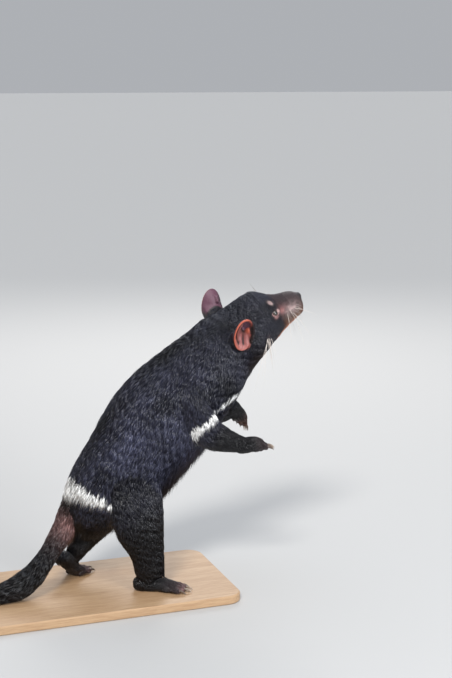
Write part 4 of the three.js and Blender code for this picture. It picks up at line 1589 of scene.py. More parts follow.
class Skin:
    """The one skin of the whole animal, with its folds, ears and lids, which replaces every node of flesh."""

    CORE = ("torso", "neck", "head", "lower_jaw", "nose", "tail", "foreleg_left", "foreleg_right", "hind_leg_left",
            "hind_leg_right", "eye_left", "eye_right")
    REPLACED = ("torso", "neck", "head", "lower_jaw", "nose", "ear_left", "ear_right", "tail", "foreleg_left",
                "foreleg_right", "forepaw_left", "forepaw_right", "hind_leg_left", "hind_leg_right", "hind_foot_left",
                "hind_foot_right")
    CORE_SIZE = 0.0033
    CORE_SMOOTHINGS = 5
    SWELL = 0.0009
    # Along the head, in millimetres: where finer faces, smoothing and the finest faces of the mouth start
    FACE_FROM, SMOOTH_FROM, MOUTH_FROM = 52.0, 50.0, 68.0
    MOUTH_REACH, NOSE_REACH, EYE_REACH = 5.5, 15.0, 13.0

    def __init__(self) -> None:
        """Prepares the paws."""
        self.paws = [forepaw("right"), forepaw("left"), hind_foot("right"), hind_foot("left")]

    def build(self, finish: bpy.types.Material) -> bpy.types.Object:
        """Makes the skin.

        Args:
            finish: its material.

        Returns:
            The piece.
        """
        mesh = self._core()
        LOG.info("core: %d points", len(mesh.vertices))
        mesh = self._refined(mesh)
        LOG.info("refined: %d points", len(mesh.vertices))
        self._shape(mesh)
        LOG.info("shaped")
        for sign in SIDES.values():
            mesh = fused(mesh, Ear(sign).build())
        LOG.info("ears on: %d points", len(mesh.vertices))
        for side in SIDES:
            mesh = fused(mesh, Eye(side).lids())
        for paw in self.paws:
            mesh = fused(mesh, paw.flesh())
            LOG.info("%s on: %d points", paw.name, len(mesh.vertices))
        places, _ = mesh_arrays(mesh)
        points = POSE.to_pose(places)
        colour, gloss = MARKINGS.skin(points, Lie(points))
        paint_mesh(mesh, colour, gloss)
        piece = finish_piece("skin", mesh, finish)
        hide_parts(*self.REPLACED)
        return piece

    def _core(self) -> bpy.types.Mesh:
        """The body, head, tail and limbs fused into one smooth closed surface.

        Returns:
            The mesh.
        """
        bm = bmesh.new()
        for name in self.CORE:
            part = bmesh.new()
            part.from_mesh(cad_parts[name].data)
            bmesh.ops.remove_doubles(part, verts=part.verts, dist=1e-5)
            part.normal_update()
            for vert in part.verts:
                vert.co += vert.normal * self.SWELL
            bm.from_mesh(mesh_of(part, name))
        mesh = remeshed(mesh_of(bm, "core"), self.CORE_SIZE)
        bm = bmesh.new()
        bm.from_mesh(mesh)
        smoothed(bm, self.CORE_SMOOTHINGS)
        return mesh_of(bm, "core")

    @staticmethod
    def _refined(mesh: bpy.types.Mesh) -> bpy.types.Mesh:
        """The same surface with finer faces on the face, and finer still round the mouth, nose and eyes.

        Args:
            mesh: the body's surface.

        Returns:
            The new mesh.
        """
        bm = bmesh.new()
        bm.from_mesh(mesh)
        for round_number in range(2):
            bm.verts.ensure_lookup_table()
            points = POSE.to_head(POSE.to_pose(np.array([v.co for v in bm.verts])))
            if round_number == 0:
                chosen = points[:, 0] > Skin.FACE_FROM
            else:
                folded = np.abs(points)
                mouth = far_from_line(points[:, [0, 2]], LIP_LINE) < Skin.MOUTH_REACH
                mouth &= points[:, 0] > Skin.MOUTH_FROM
                nose = np.linalg.norm(points - NOSE_AT, axis=1) < Skin.NOSE_REACH
                eye = np.linalg.norm(folded - np.array(EYE.at), axis=1) < Skin.EYE_REACH
                chosen = mouth | nose | eye
            picked = {bm.verts[i] for i in np.flatnonzero(chosen)}
            edges = [e for e in bm.edges if e.verts[0] in picked and e.verts[1] in picked]
            bmesh.ops.subdivide_edges(bm, edges=edges, cuts=1, use_grid_fill=True)
            bm.verts.ensure_lookup_table()
            points = POSE.to_head(POSE.to_pose(np.array([v.co for v in bm.verts])))
            face = [bm.verts[i] for i in np.flatnonzero(points[:, 0] > Skin.SMOOTH_FROM)]
            smoothed(bm, 3 - round_number, face)
        return mesh_of(bm, "refined")

    def _shape(self, mesh: bpy.types.Mesh) -> None:
        """Sinks the skin below the coat, and models the mouth, nose, sockets and folds.

        Args:
            mesh: the skin, which is changed.
        """
        places, normals = mesh_arrays(mesh)
        points = POSE.to_pose(places)
        lie = Lie(points)
        sink = lie.depth + self.SWELL / MM
        points = points - normals * sink[:, None]
        head = POSE.to_head(points)
        turned = normals @ POSE.head_turn()
        rise = self._face_relief(head, turned)
        head = head + turned * rise[:, None]
        in_head = lie.part == Part.HEAD
        points[in_head] = POSE.from_head(head)[in_head]
        mesh.vertices.foreach_set("co", POSE.to_scene(points).ravel())
        mesh.update()

    @staticmethod
    def _face_relief(head: np.ndarray, normals: np.ndarray) -> np.ndarray:
        """How far the face stands out or is drawn in.

        Args:
            head: places in the head's frame.
            normals: the surface's directions in the head's frame.

        Returns:
            The rise of each place, in millimetres.
        """
        x, y, z = head[:, 0], np.abs(head[:, 1]), head[:, 2]
        folded = np.stack([x, y, z], axis=1)
        far = far_from_line(head[:, [0, 2]], LIP_LINE)
        mouth = smooth(70, 78, x) * smooth(-0.95, -0.7, normals[:, 2] * -1)
        below = head[:, 2] < np.interp(x, LIP_LINE[::-1, 0], LIP_LINE[::-1, 1])
        rise = -1.7 * bump_at(far, 0.75) * mouth
        rise += 1.0 * bump_at(far - 2.3, 1.6) * mouth * np.where(below, 0.8, 1.0)
        for sign in (1.0, -1.0):
            at = NOSTRIL_AT * np.array([1.0, sign, 1.0])
            across = head[:, 1] - at[1]
            slit = np.hypot(across / 1.15, (head[:, 2] - at[2] + 0.35 * sign * across) / 0.8)
            rise -= 3.0 * bump_at(slit, 1.7) * (x > 148)
        rise -= 0.9 * bump_at(y, 0.7) * smooth(148, 153, x) * (z < 3)
        rise += 0.7 * bump_at(np.linalg.norm(folded - (125, 26, -2), axis=1), 10.0)
        rise -= 3.0 * smooth(118, 142, x) * smooth(-19, -24, z)
        for k in range(5):
            rise += 0.35 * bump_at(np.linalg.norm(folded - (136 - 6.0 * k, 27 + 1.2 * k, -7 - 0.6 * k), axis=1), 1.6)
        for k in range(3):
            line = 96 + 7 * k
            rise -= 0.45 * bump_at(x - line - 0.25 * y, 1.3) * bump_at(z - 17, 12.0)
        for sign in (1.0, -1.0):
            at, outward, forward, up = EYE.axes(sign)
            away = head - at
            u, v, w = away @ forward, away @ up, away @ outward
            flat = np.hypot(u / 1.32, v)
            near = w > -1.0
            level = EYE.radius * 0.55 - 1.0
            hole = smooth(6.2, 4.6, flat) * near
            rise += hole * (level - 4.0 - w) * 0.9
            rise += 0.8 * bump_at(flat - 7.6, 1.9) * near * (1 - hole)
            rise -= 0.5 * bump_at(flat - 10.5, 1.2) * near * np.where(v < 0, 1.0, 0.4)
        return rise


class Tufts:
    """Locks of hair over the skin, each a thin three-sided blade that bends with the body."""

    # A tuft's cross-section, its width at the root and in the middle, and its faces
    RING = np.array([(-0.5, 0.0), (0.5, 0.0), (0.0, 0.55)])
    WIDTHS = (0.55, 1.0)
    CORNERS = 7
    FACES = np.array([(0, 1, 4), (0, 4, 3), (1, 2, 5), (1, 5, 4), (2, 0, 3), (2, 3, 5), (3, 4, 6), (4, 5, 6),
                      (5, 3, 6), (0, 2, 1)])
    ROOT_DEPTH = 0.6
    MIDDLE_LIFT = 0.78
    PIECE_LIMIT = 190000
    # How tufts stray from the lie: waves of so many radians, their length and seed, and each tuft's own
    SWIRLS = ((0.09, 60.0, 7), (0.02, 20.0, 8))
    STRAY = 0.035
    # Ranges that each tuft is drawn from, as shares of the coat's own value there
    LENGTHS, SPREADS, LIFTS, TONES = (0.72, 1.15), (0.7, 1.25), (0.5, 1.0), (0.6, 1.4)
    HANGS = (0.1, 0.85)
    # Locks: the share of tufts that lead one, and how far the others are drawn to them
    LEADERS, PULLS = 0.10, (0.05, 0.26)
    # How much shorter, narrower, flatter and blacker the tufts on the backs of the ears are
    ON_EARS = (0.62, 0.35, 0.6, 0.75)
    # The share of its length at which a tuft shows most, and so takes its colour
    SHOWN_AT = 0.72
    # The size of a tuft's patch on the map
    PATCH = 0.003

    def __init__(self, skin: bpy.types.Object) -> None:
        """Reads the skin.

        Args:
            skin: the finished skin.
        """
        self.rng = np.random.default_rng(SEED)
        places, corners = triangles_of(skin.data)
        self.triangles = places[corners] / MM
        self.tree = BVHTree.FromPolygons([Vector(p) for p in places / MM], corners.tolist(), all_triangles=True)
        self.offset = POSE.offset()

    def _roots(self) -> tuple:
        """Random places all over the skin, as dense as the coat there.

        Returns:
            The places and normals of the roots, in scene millimetres, and the lie of the coat.
        """
        a, b, c = self.triangles[:, 0], self.triangles[:, 1], self.triangles[:, 2]
        across = np.cross(b - a, c - a)
        area = np.linalg.norm(across, axis=1) / 2
        middles = (a + b + c) / 3 - self.offset
        lie = Lie(middles)
        density = lie.density * self._cover(middles, unit(across), lie)
        expected = area * density
        count = np.floor(expected + self.rng.random(len(expected))).astype(int)
        face = np.repeat(np.arange(len(count)), count)
        u, v = self.rng.random(len(face)), self.rng.random(len(face))
        over = u + v > 1
        u[over], v[over] = 1 - u[over], 1 - v[over]
        roots = a[face] + (b - a)[face] * u[:, None] + (c - a)[face] * v[:, None]
        return roots, unit(across)[face]

    @staticmethod
    def _cover(points: np.ndarray, normals: np.ndarray, lie: Lie) -> np.ndarray:
        """Where the coat grows: not in the ears, nor on the nose, lids, lips and soles.

        Args:
            points: places in the pose frame.
            normals: the skin's directions there.
            lie: the lie of the coat there.

        Returns:
            The share of the full coat at each place.
        """
        head = POSE.to_head(points)
        cover = np.ones(len(points))
        folded = np.stack([head[:, 0], np.abs(head[:, 1]), head[:, 2]], axis=1)
        in_head = lie.part == Part.HEAD
        nose = np.linalg.norm((folded - NOSE_AT) / NOSE_STRETCH, axis=1) < 11.5
        cover[in_head & nose & (head[:, 0] > 144)] = 0.0
        lips = (far_from_line(head[:, [0, 2]], LIP_LINE) < 2.4) & (head[:, 0] > 74)
        cover[in_head & lips] = 0.0
        for sign in SIDES.values():
            at, outward, forward, up = EYE.axes(sign)
            away = head - at
            near = (np.hypot(away @ forward / 1.32, away @ up) < 6.6) & (away @ outward > -2)
            cover[in_head & near] = 0.0
            x, y, out = EAR.inside(head, sign)
            r = np.hypot(x, y)
            on_ear = (r < 1.04) & (np.abs(out) < 13) & (head[:, 1] * sign > 44)
            facing = normals @ (POSE.head_turn() @ EAR.axes(sign)[3])
            cover[on_ear & (facing > -0.2) & (x < 0.7)] = 0.0
            cover[on_ear & (facing <= -0.2) & (y > 0.1)] *= 0.35
        pad = bump_at(np.linalg.norm((folded - (116, 27, 2)) / (2.0, 1.2, 0.9), axis=1), 10.0)
        cover *= 1.0 - 0.75 * in_head * pad
        _, amount, _ = MARKINGS.bare(points, lie)
        cover *= 1.0 - 0.45 * amount * np.where(lie.part == Part.TAIL, 1.3, 1.0)
        legs = lie.part >= Part.FORELEG_RIGHT
        soles = legs & (lie.share > 0.72) & (normals[:, 2] < -0.35)
        cover[soles] = 0.0
        cover[legs & (lie.share > 0.93)] *= 0.35
        return cover

    def build(self, material: bpy.types.Material) -> list[bpy.types.Object]:
        """Makes the coat.

        Args:
            material: its finish.

        Returns:
            The coat's pieces.
        """
        roots, normals = self._roots()
        points = roots - self.offset
        lie = Lie(points)
        way = lie.along(normals)
        rng = self.rng
        count = len(roots)
        LOG.info("coat: %d tufts", count)
        swirl = sum(turn * wobble(points, scale, seed) for turn, scale, seed in self.SWIRLS)
        swirl = swirl + rng.normal(0, self.STRAY, count)
        side = np.cross(normals, way)
        way = unit(way * np.cos(swirl)[:, None] + side * np.sin(swirl)[:, None])
        length = lie.length * rng.uniform(*self.LENGTHS, count)
        width = lie.width * rng.uniform(*self.SPREADS, count)
        lift = lie.lift * rng.uniform(*self.LIFTS, count)
        shaggy = self._shagginess(normals, lie)
        lift *= 1.0 + shaggy
        length *= 1.0 + 0.25 * shaggy
        on_ear = self._on_ears(points)
        shorter, narrower, flatter, blacker = self.ON_EARS
        length *= 1.0 - shorter * on_ear
        width *= 1.0 - narrower * on_ear
        lift *= 1.0 - flatter * on_ear
        clumps = 0.5 + 0.5 * wobble(points, 15.0, 9)
        lift *= 0.75 + 0.5 * clumps
        ends, middles, end_normals, middle_normals = self._walk(roots, way, length)
        tips = ends + end_normals * lift[:, None]
        tips[:, 2] -= self._hang(normals, lie) * length * rng.uniform(*self.HANGS, count)
        tips = self._gathered(tips, middles, length, lie)
        rings = self._rings((roots, middles), (normals, middle_normals), tips, lift, width)
        shown = roots + (ends - roots) * (self.SHOWN_AT * (1.0 - on_ear))[:, None] - self.offset
        colour = MARKINGS.coat(shown, Lie(shown))
        colour += (MARKINGS.WARM_BLACK - colour) * (blacker * on_ear)[:, None]
        dim = rng.uniform(*self.TONES, count)[:, None]
        colour = colour * np.where(colour.mean(axis=1, keepdims=True) > 0.3, 0.9 + 0.1 * dim, dim)
        return self._pieces(rings, colour, points, lie, material)

    @staticmethod
    def _on_ears(points: np.ndarray) -> np.ndarray:
        """Which points are on an ear.

        Args:
            points: places in the pose frame.

        Returns:
            1 on an ear and 0 elsewhere.
        """
        head = POSE.to_head(points)
        found = np.zeros(len(points))
        for sign in SIDES.values():
            x, y, out = EAR.inside(head, sign)
            near = (np.hypot(x, y) < 1.15) & (np.abs(out) < 12.0) & (head[:, 1] * sign > 46.0) & (y > -0.6)
            found = np.maximum(found, near)
        return found

    @staticmethod
    def _hang(normals: np.ndarray, lie: Lie) -> np.ndarray:
        """How far tips hang clear of the skin, as a share of the hair's length: under the belly and the thighs."""
        under = smooth(0.1, 0.7, -normals[:, 2]) * lie.weights[Part.TORSO] * (lie.share < 0.75)
        return under + 0.5 * smooth(0.3, 0.9, -normals[:, 2]) * lie.on_hind_legs() * (lie.share < 0.6)

    def _gathered(self, tips: np.ndarray, middles: np.ndarray, length: np.ndarray, lie: Lie) -> np.ndarray:
        """Draws the tips of neighbouring tufts together into locks.

        Args:
            tips: the tufts' tips in scene millimetres.
            middles: the tufts' middles.
            length: the tufts' lengths.
            lie: the lie of the coat at the roots; not used.

        Returns:
            The tips, moved.
        """
        picked = np.flatnonzero(self.rng.random(len(tips)) < self.LEADERS)
        tree = KDTree(len(picked))
        for number, i in enumerate(picked):
            tree.insert(middles[i], number)
        tree.balance()
        leader = picked[np.array([tree.find(m)[1] for m in middles])]
        pull = self.rng.uniform(*self.PULLS, len(tips)) * smooth(2.0, 9.0, length)
        shift = tips[leader] - tips
        far = np.linalg.norm(shift, axis=1)
        pull *= smooth(0.9, 0.35, far / np.maximum(length, 1e-6))
        return tips + shift * pull[:, None]

    @staticmethod
    def _shagginess(normals: np.ndarray, lie: Lie) -> np.ndarray:
        """Where the coat is shaggy: along the belly and on the tail.

        Args:
            normals: the skin's directions.
            lie: the lie of the coat there.

        Returns:
            How much more it stands off at each place.
        """
        axis = np.array([0.67, 0.0, 0.74])
        belly_side = np.cross(axis, np.array([0.0, 1.0, 0.0]))
        belly = smooth(0.25, 0.8, normals @ belly_side) * lie.weights[Part.TORSO]
        return 0.9 * belly + 0.25 * lie.weights[Part.TAIL]

    def _walk(self, roots: np.ndarray, way: np.ndarray, length: np.ndarray) -> tuple:
        """Follows the skin from each root, half a length and then the other half.

        Args:
            roots: the roots in scene millimetres.
            way: the way each tuft lies.
            length: how long each tuft is.

        Returns:
            The ends and middles on the skin, and the normals at both.
        """
        count = len(roots)
        middles, middle_normals = np.empty((count, 3)), np.empty((count, 3))
        ends, end_normals = np.empty((count, 3)), np.empty((count, 3))
        find = self.tree.find_nearest
        for i, target in enumerate(roots + way * (length * 0.5)[:, None]):
            spot, normal, _, _ = find(target)
            middles[i], middle_normals[i] = spot, normal
        onward = way - (way * middle_normals).sum(axis=1, keepdims=True) * middle_normals
        for i, target in enumerate(middles + unit(onward) * (length * 0.5)[:, None]):
            spot, normal, _, _ = find(target)
            ends[i], end_normals[i] = spot, normal
        return ends, middles, end_normals, middle_normals

    def _rings(self, at: tuple, ups: tuple, tips: np.ndarray, lift: np.ndarray, width: np.ndarray) -> np.ndarray:
        """The corners of every tuft: a ring at its root, one at its middle, and its tip.

        Args:
            at: the tufts' roots and middles on the skin, in scene millimetres.
            ups: the skin's directions at the roots and middles.
            tips: the tufts' tips.
            lift: how far each tuft stands off.
            width: how wide each tuft is.

        Returns:
            An array of tufts by corners by 3, in scene metres.
        """
        roots = at[0] - ups[0] * self.ROOT_DEPTH
        middles = at[1] + ups[1] * (lift * self.MIDDLE_LIFT)[:, None]
        corners = np.empty((len(roots), self.CORNERS, 3))
        path = [roots, middles, tips]
        for k in range(2):
            along = unit(path[k + 1] - path[max(k - 1, 0)])
            left = unit(np.cross(ups[k], along))
            up = np.cross(along, left)
            wide = width * self.WIDTHS[k]
            for j, (across, rise) in enumerate(self.RING):
                corners[:, k * 3 + j] = path[k] + left * (across * wide)[:, None] + up * (rise * wide)[:, None]
        corners[:, -1] = tips
        return corners * MM

    def _pieces(self, rings: np.ndarray, colour: np.ndarray, points: np.ndarray, lie: Lie,
                material: bpy.types.Material) -> list[bpy.types.Object]:
        """Splits the tufts among pieces by body part, and makes each piece's mesh.

        Args:
            rings: the tufts' corners.
            colour: the tufts' colours.
            points: the tufts' roots in the pose frame.
            lie: the lie of the coat at the roots.
            material: the coat's finish.

        Returns:
            The pieces.
        """
        pieces = []
        unwrap = self._unwrap(points, lie)
        most = self.PIECE_LIMIT // len(self.FACES)
        for number, limb in enumerate(LIMBS):
            chosen = np.flatnonzero(lie.part == number)
            chosen = chosen[np.argsort(lie.share[chosen], kind="stable")]
            parts = max(1, math.ceil(len(chosen) / most))
            for k, own in enumerate(np.array_split(chosen, parts)):
                name = f"coat_{limb.name}" + (f"_{k + 1}" if parts > 1 else "")
                mesh = self._mesh(name, rings[own], colour[own], unwrap[own])
                pieces.append(finish_piece(name, mesh, material))
        return pieces

    def _mesh(self, name: str, rings: np.ndarray, colour: np.ndarray, spots: np.ndarray) -> bpy.types.Mesh:
        """One mesh of many tufts.

        Args:
            name: the mesh's name.
            rings: the tufts' corners.
            colour: the tufts' colours.
            spots: the tufts' places on the unwrapped skin.

        Returns:
            The mesh, with its colours and its OFBake map.
        """
        count = len(rings)
        mesh = bpy.data.meshes.new(name)
        mesh.vertices.add(count * self.CORNERS)
        mesh.vertices.foreach_set("co", rings.ravel())
        loops = (self.FACES[None] + self.CORNERS * np.arange(count)[:, None, None]).ravel()
        mesh.loops.add(len(loops))
        mesh.loops.foreach_set("vertex_index", loops.astype(np.int32))
        mesh.polygons.add(count * len(self.FACES))
        mesh.polygons.foreach_set("loop_start", np.arange(0, len(loops), 3, dtype=np.int32))
        mesh.update(calc_edges=True)
        shades = np.repeat(colour[:, None], self.CORNERS, axis=1)
        # Painted shade: dark hair is darker at its root, where the coat over it shades it, and white hair stays white
        # to the root; tips are a little lighter
        pale = np.clip(colour.mean(axis=1) * 2.0, 0.0, 1.0)[:, None, None]
        shades[:, :3] *= 0.7 + 0.3 * pale
        shades[:, 6:] *= 1.05 - 0.05 * pale
        paint_mesh(mesh, shades.reshape(-1, 3))
        patch = np.array([(0.1, 0.1), (0.9, 0.1), (0.5, 0.3), (0.1, 0.5), (0.9, 0.5), (0.5, 0.7), (0.5, 0.95)])
        patch = patch * self.PATCH
        uv = (spots[:, None] + patch[None]).reshape(-1, 2)[loops]
        mesh.uv_layers.new(name="OFBake").data.foreach_set("uv", uv.astype(np.float32).ravel())
        return mesh

    @staticmethod
    def _unwrap(points: np.ndarray, lie: Lie) -> np.ndarray:
        """Places on an unwrap of the skin: round each limb and along it.

        Args:
            points: places in the pose frame.
            lie: the lie of the coat there.

        Returns:
            Two numbers between 0.01 and 0.99 for each place.
        """
        spots = np.empty((len(points), 2))
        for number, limb in enumerate(LIMBS):
            own = lie.part == number
            middles = limb.middles()
            middle = catmull_rom(middles, lie.share[own])
            along = unit(middles[-1] - middles[0])
            left = unit(np.cross(np.array(limb.topwards, float), along))
            up = np.cross(along, left)
            away = points[own] - middle
            turn = np.arctan2(away @ left, away @ up) / (2 * math.pi) + 0.5
            spots[own, 0] = 0.01 + 0.975 * turn
            spots[own, 1] = 0.01 + 0.975 * lie.share[own]
        return spots


@dataclass(frozen=True)
class Whisker:
    """One long stiff hair, in the head's frame: its root, the way it leaves, how it droops, and its size."""

    root: tuple
    way: tuple
    length: float
    droop: float
    radius: float
    pale: float


class Whiskers:
    """The whiskers of the muzzle, brows, cheeks and chin."""

    SIDES = 5
    STEPS = 9
    TAPER = 0.85
    DROOP_STEP = 0.22
    DARK, PALE = np.array([0.05, 0.035, 0.03]), np.array([0.72, 0.64, 0.58])
    # The long whiskers of one side: root, way, length and droop
    LONG = (
        ((117, 27, 3), (0.10, 0.75, -0.55), 68, 0.6), ((126, 26, 1), (0.75, 0.7, -0.25), 42, 0.15),
        ((110, 29, -1), (-0.3, 0.7, -0.6), 60, 0.6), ((120, 27, -5), (0.4, 0.7, -0.6), 50, 0.4),
        ((58, 57, -10), (-0.9, 0.5, -0.4), 104, 0.1), ((57, 57, -8), (-0.75, 0.6, -0.5), 70, 0.25),
        ((60, 56, -12), (-0.4, 0.6, -0.7), 46, 0.3), ((55, 57, -9), (-0.6, 0.6, -0.6), 80, 0.3),
        ((62, 55, -14), (-0.1, 0.6, -0.8), 34, 0.3),
    )
    # The left side's long whiskers are shorter, and so stay near the solids' box
    LEFT_SHARE = 0.8

    def __init__(self, skin: bpy.types.Object) -> None:
        """Reads the skin.

        Args:
            skin: the finished skin.
        """
        self.rng = np.random.default_rng(SEED + 1)
        places, corners = triangles_of(skin.data)
        self.tree = BVHTree.FromPolygons([Vector(p) for p in places], corners.tolist(), all_triangles=True)

    def _all(self) -> list[Whisker]:
        """Every whisker of both sides.

        Returns:
            The whiskers.
        """
        rng = self.rng
        found = []
        for sign in SIDES.values():
            for root, way, length, droop in self.LONG:
                at = (root[0], sign * root[1], root[2])
                reach = length * (self.LEFT_SHARE if sign > 0 else 1.0)
                found.append(Whisker(at, (way[0], sign * way[1], way[2]), reach, droop, 0.36, 1.0))
            for row, k in MYSTACIAL:
                x, y, z = mystacial_root(row, k, MYSTACIAL_SIDE - 1.0)
                length = (16 + 5.0 * k) * rng.uniform(0.75, 1.2)
                way = (0.62 - 0.16 * k, sign * 0.85, 0.05 - 0.16 * row)
                root, droop = (x, sign * y, z), rng.uniform(0.25, 0.6)
                found.append(Whisker(root, way, length, droop, 0.2, rng.uniform(0.1, 0.8)))
            for _ in range(9):
                root = (57 + rng.normal(0, 2.5), sign * 57, -10 + rng.normal(0, 2.5))
                way = (rng.normal(-0.25, 0.2), sign * rng.uniform(0.5, 0.9), rng.uniform(-1.0, -0.5))
                length, droop = rng.uniform(30, 60), rng.uniform(0.4, 0.9)
                found.append(Whisker(root, way, length, droop, 0.26, rng.uniform(0.5, 1.0)))
            for k in range(4):
                root = (84 + 2.0 * k, sign * (23 + k), 34 - k)
                way = (0.1, sign * 0.5, 0.85 - 0.1 * k)
                found.append(Whisker(root, way, rng.uniform(12, 20), 0.5, 0.18, 0.3))
            for k in range(7):
                root = (104 + 5.0 * k, sign * rng.uniform(4, 15), -36)
                way = (rng.uniform(0.0, 0.35), sign * rng.uniform(0.1, 0.4), -0.9)
                found.append(Whisker(root, way, rng.uniform(9, 18), 0.4, 0.17, rng.uniform(0.2, 0.8)))
        return found

    def build(self, material: bpy.types.Material) -> bpy.types.Object:
        """Makes the whiskers, in one piece.

        Args:
            material: their finish.

        Returns:
            The piece.
        """
        rings, shades = [], []
        turn = POSE.head_turn()
        down = np.array([0.0, 0.0, -1.0])
        angles = np.arange(self.SIDES) * 2 * math.pi / self.SIDES
        for hair in self._all():
            guess = POSE.to_scene(POSE.from_head(np.array(hair.root)[None]))[0]
            spot, normal, _, _ = self.tree.find_nearest(Vector(guess))
            out = np.array(normal)
            at = np.array(spot) / MM - out * 0.5
            way = unit(turn @ np.array(hair.way))
            way = unit(way + out * max(0.0, 0.35 - way @ out))
            for step in range(self.STEPS + 1):
                left = unit(np.cross(way, (0.3, 1.0, 0.1)))
                radius = hair.radius * (1.0 - self.TAPER * step / self.STEPS)
                ring = at + radius * (np.cos(angles)[:, None] * left + np.sin(angles)[:, None] * np.cross(way, left))
                rings.append(ring)
                way = unit(way + down * hair.droop * self.DROOP_STEP)
                at = at + way * hair.length / self.STEPS
            shades.append(self.DARK + (self.PALE - self.DARK) * hair.pale)
        mesh = self._mesh(np.array(rings) * MM, len(shades))
        paint_mesh(mesh, np.repeat(np.array(shades), (self.STEPS + 1) * self.SIDES, axis=0))
        return finish_piece("whiskers", mesh, material)

    def _mesh(self, rings: np.ndarray, count: int) -> bpy.types.Mesh:
        """One mesh of closed tubes.

        Args:
            rings: the rings of all the tubes, one tube after the other, in metres.
            count: how many tubes there are.

        Returns:
            The mesh.
        """
        n, m = self.SIDES, self.STEPS
        k, j = np.meshgrid(np.arange(m), np.arange(n), indexing="ij")
        wall = np.stack([k * n + j, k * n + (j + 1) % n, (k + 1) * n + (j + 1) % n, (k + 1) * n + j], axis=-1)
        ends = [tuple(reversed(range(n))), tuple(range(m * n, (m + 1) * n))]
        one = [tuple(f) for f in wall.reshape(-1, 4)] + ends
        faces = [[int(v) + i * (m + 1) * n for v in face] for i in range(count) for face in one]
        mesh = bpy.data.meshes.new("whiskers")
        mesh.from_pydata(rings.reshape(-1, 3).tolist(), [], faces)
        mesh.update()
        return mesh


class Claws:
    """The claws of all four paws, a piece for each paw, dark at the root and pale over the last PALE_RUN mm."""

    DARK, PALE = np.array([0.075, 0.050, 0.038]), np.array([0.34, 0.27, 0.21])
    PALE_RUN = 16

    def build(self, paws: list[Paw], material: bpy.types.Material) -> None:
        """Makes the claws.

        Args:
            paws: the paws that they grow from.
            material: their finish.
        """
        for paw in paws:
            mesh = paw.nails()
            places, _ = mesh_arrays(mesh)
            local = (POSE.to_pose(places) - np.array(paw.foot.at)) @ paw.foot.axes().T
            tip = local[:, 0].max()
            reach = smooth(tip - self.PALE_RUN, tip, local[:, 0])
            paint_mesh(mesh, self.DARK + (self.PALE - self.DARK) * reach[:, None])
            finish_piece(f"claws_{paw.name}", mesh, material)


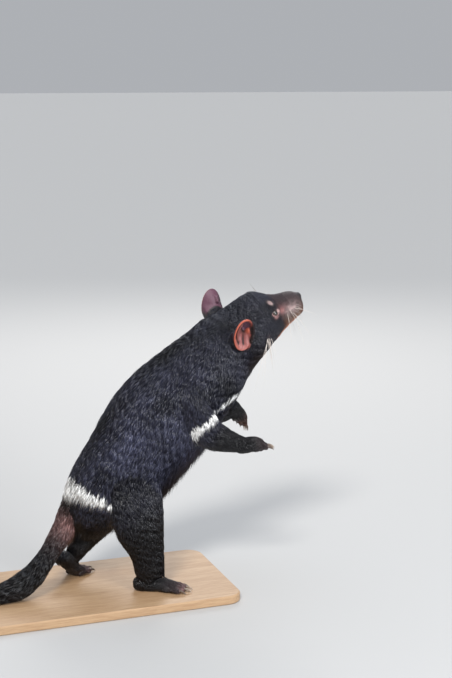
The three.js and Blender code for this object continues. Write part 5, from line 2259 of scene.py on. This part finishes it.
@dataclass(frozen=True)
class Studio:
    """Camera, light and floor."""

    focal_pixels: float = 1392.0
    camera_at: tuple = (-619.3, -2191.3, 850.0)
    azimuth: float = -20.0
    pitch: float = 10.8
    sensor: float = 36.0
    floor_half: float = 60.0
    suns: tuple = (
        ("key", (-0.55, -0.85, 0.95), 2.5, 14.0, (1.0, 0.98, 0.95)),
        ("sky", (0.1, 0.35, 1.0), 0.9, 60.0, (0.70, 0.82, 1.0)),
    )
    lamps: tuple = (
        ("sheen", (1.2, -2.7, 1.25), 1.1, 75.0, (0.93, 0.96, 1.0)),
        ("rim", (0.9, 2.3, 1.9), 1.2, 30.0, (1.0, 0.98, 0.96)),
    )
    lamp_aim: tuple = (0.03, 0.0, 0.28)
    world_colour: tuple = (0.84, 0.87, 0.92, 1)
    world_strength: float = 0.5

    def build(self) -> None:
        """Sets the camera, the lamps, the world and the floor."""
        self._camera()
        for sun in self.suns:
            self._sun(*sun)
        for lamp in self.lamps:
            self._lamp(*lamp)
        world = bpy.data.worlds.new("studio")
        world.use_nodes = True
        sky = world.node_tree.nodes["Background"]
        sky.inputs["Color"].default_value = self.world_colour
        sky.inputs["Strength"].default_value = self.world_strength
        bpy.context.scene.world = world
        bpy.context.scene.view_settings.view_transform = "Standard"
        self._floor()

    def _camera(self) -> None:
        """Sets the camera where the photo was taken from."""
        data = bpy.data.cameras.new("camera")
        data.sensor_fit = "VERTICAL"
        data.sensor_height = self.sensor
        data.lens = self.focal_pixels / IMAGE[1] * self.sensor
        camera = placed("camera", data)
        camera.location = POSE.to_scene(np.array(self.camera_at)[None])[0]
        turn = Matrix.Rotation(math.radians(self.azimuth), 4, "Z") @ Matrix.Rotation(
            math.radians(90.0 - self.pitch), 4, "X")
        camera.rotation_euler = turn.to_euler()
        bpy.context.scene.camera = camera

    @staticmethod
    def _sun(name: str, way: tuple, strength: float, softness: float, colour: tuple) -> None:
        """Adds a far light.

        Args:
            name: its name.
            way: the way to it.
            strength: its strength.
            softness: its width in degrees.
            colour: its colour.
        """
        data = bpy.data.lights.new(name, "SUN")
        data.energy = strength
        data.angle = math.radians(softness)
        data.color = colour
        lamp = placed(name, data)
        lamp.rotation_euler = Vector(way).to_track_quat("Z", "Y").to_euler()

    def _lamp(self, name: str, at: tuple, size: float, power: float, colour: tuple) -> None:
        """Adds an area lamp that faces the animal.

        Args:
            name: its name.
            at: its place.
            size: its width in metres.
            power: its power in watts.
            colour: its colour.
        """
        data = bpy.data.lights.new(name, "AREA")
        data.shape = "DISK"
        data.size = size
        data.energy = power
        data.color = colour
        lamp = placed(name, data)
        lamp.location = at
        aim = Vector(self.lamp_aim) - Vector(at)
        lamp.rotation_euler = aim.to_track_quat("-Z", "Y").to_euler()

    def _floor(self) -> None:
        """Adds the floor."""
        bm = bmesh.new()
        bmesh.ops.create_grid(bm, x_segments=1, y_segments=1, size=self.floor_half)
        mesh = mesh_of(bm, "floor")
        mesh.materials.append(FloorFinish().build())
        placed("floor", mesh)


def main() -> None:
    """Builds the animal, its base and the studio."""
    logging.basicConfig(level=logging.INFO, format="%(asctime)s %(message)s", force=True)
    board = BoardFinish().build()
    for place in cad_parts["stand_base"].material_slots:
        place.material = board
    skin = Skin()
    piece = skin.build(HideFinish().build())
    wet = TintedFinish("wet_eye", 0.12, 0.6, 1.0).build()
    for side in SIDES:
        Eye(side).ball(wet)
    Claws().build(skin.paws, TintedFinish("horn", 0.38).build())
    coat = Tufts(piece).build(CoatFinish().build())
    LOG.info("coat: %d pieces, %d faces", len(coat), sum(len(p.data.polygons) for p in coat))
    Whiskers(piece).build(TintedFinish("whisker", 0.35).build())
    Studio().build()


if __name__ == "__main__":
    main()
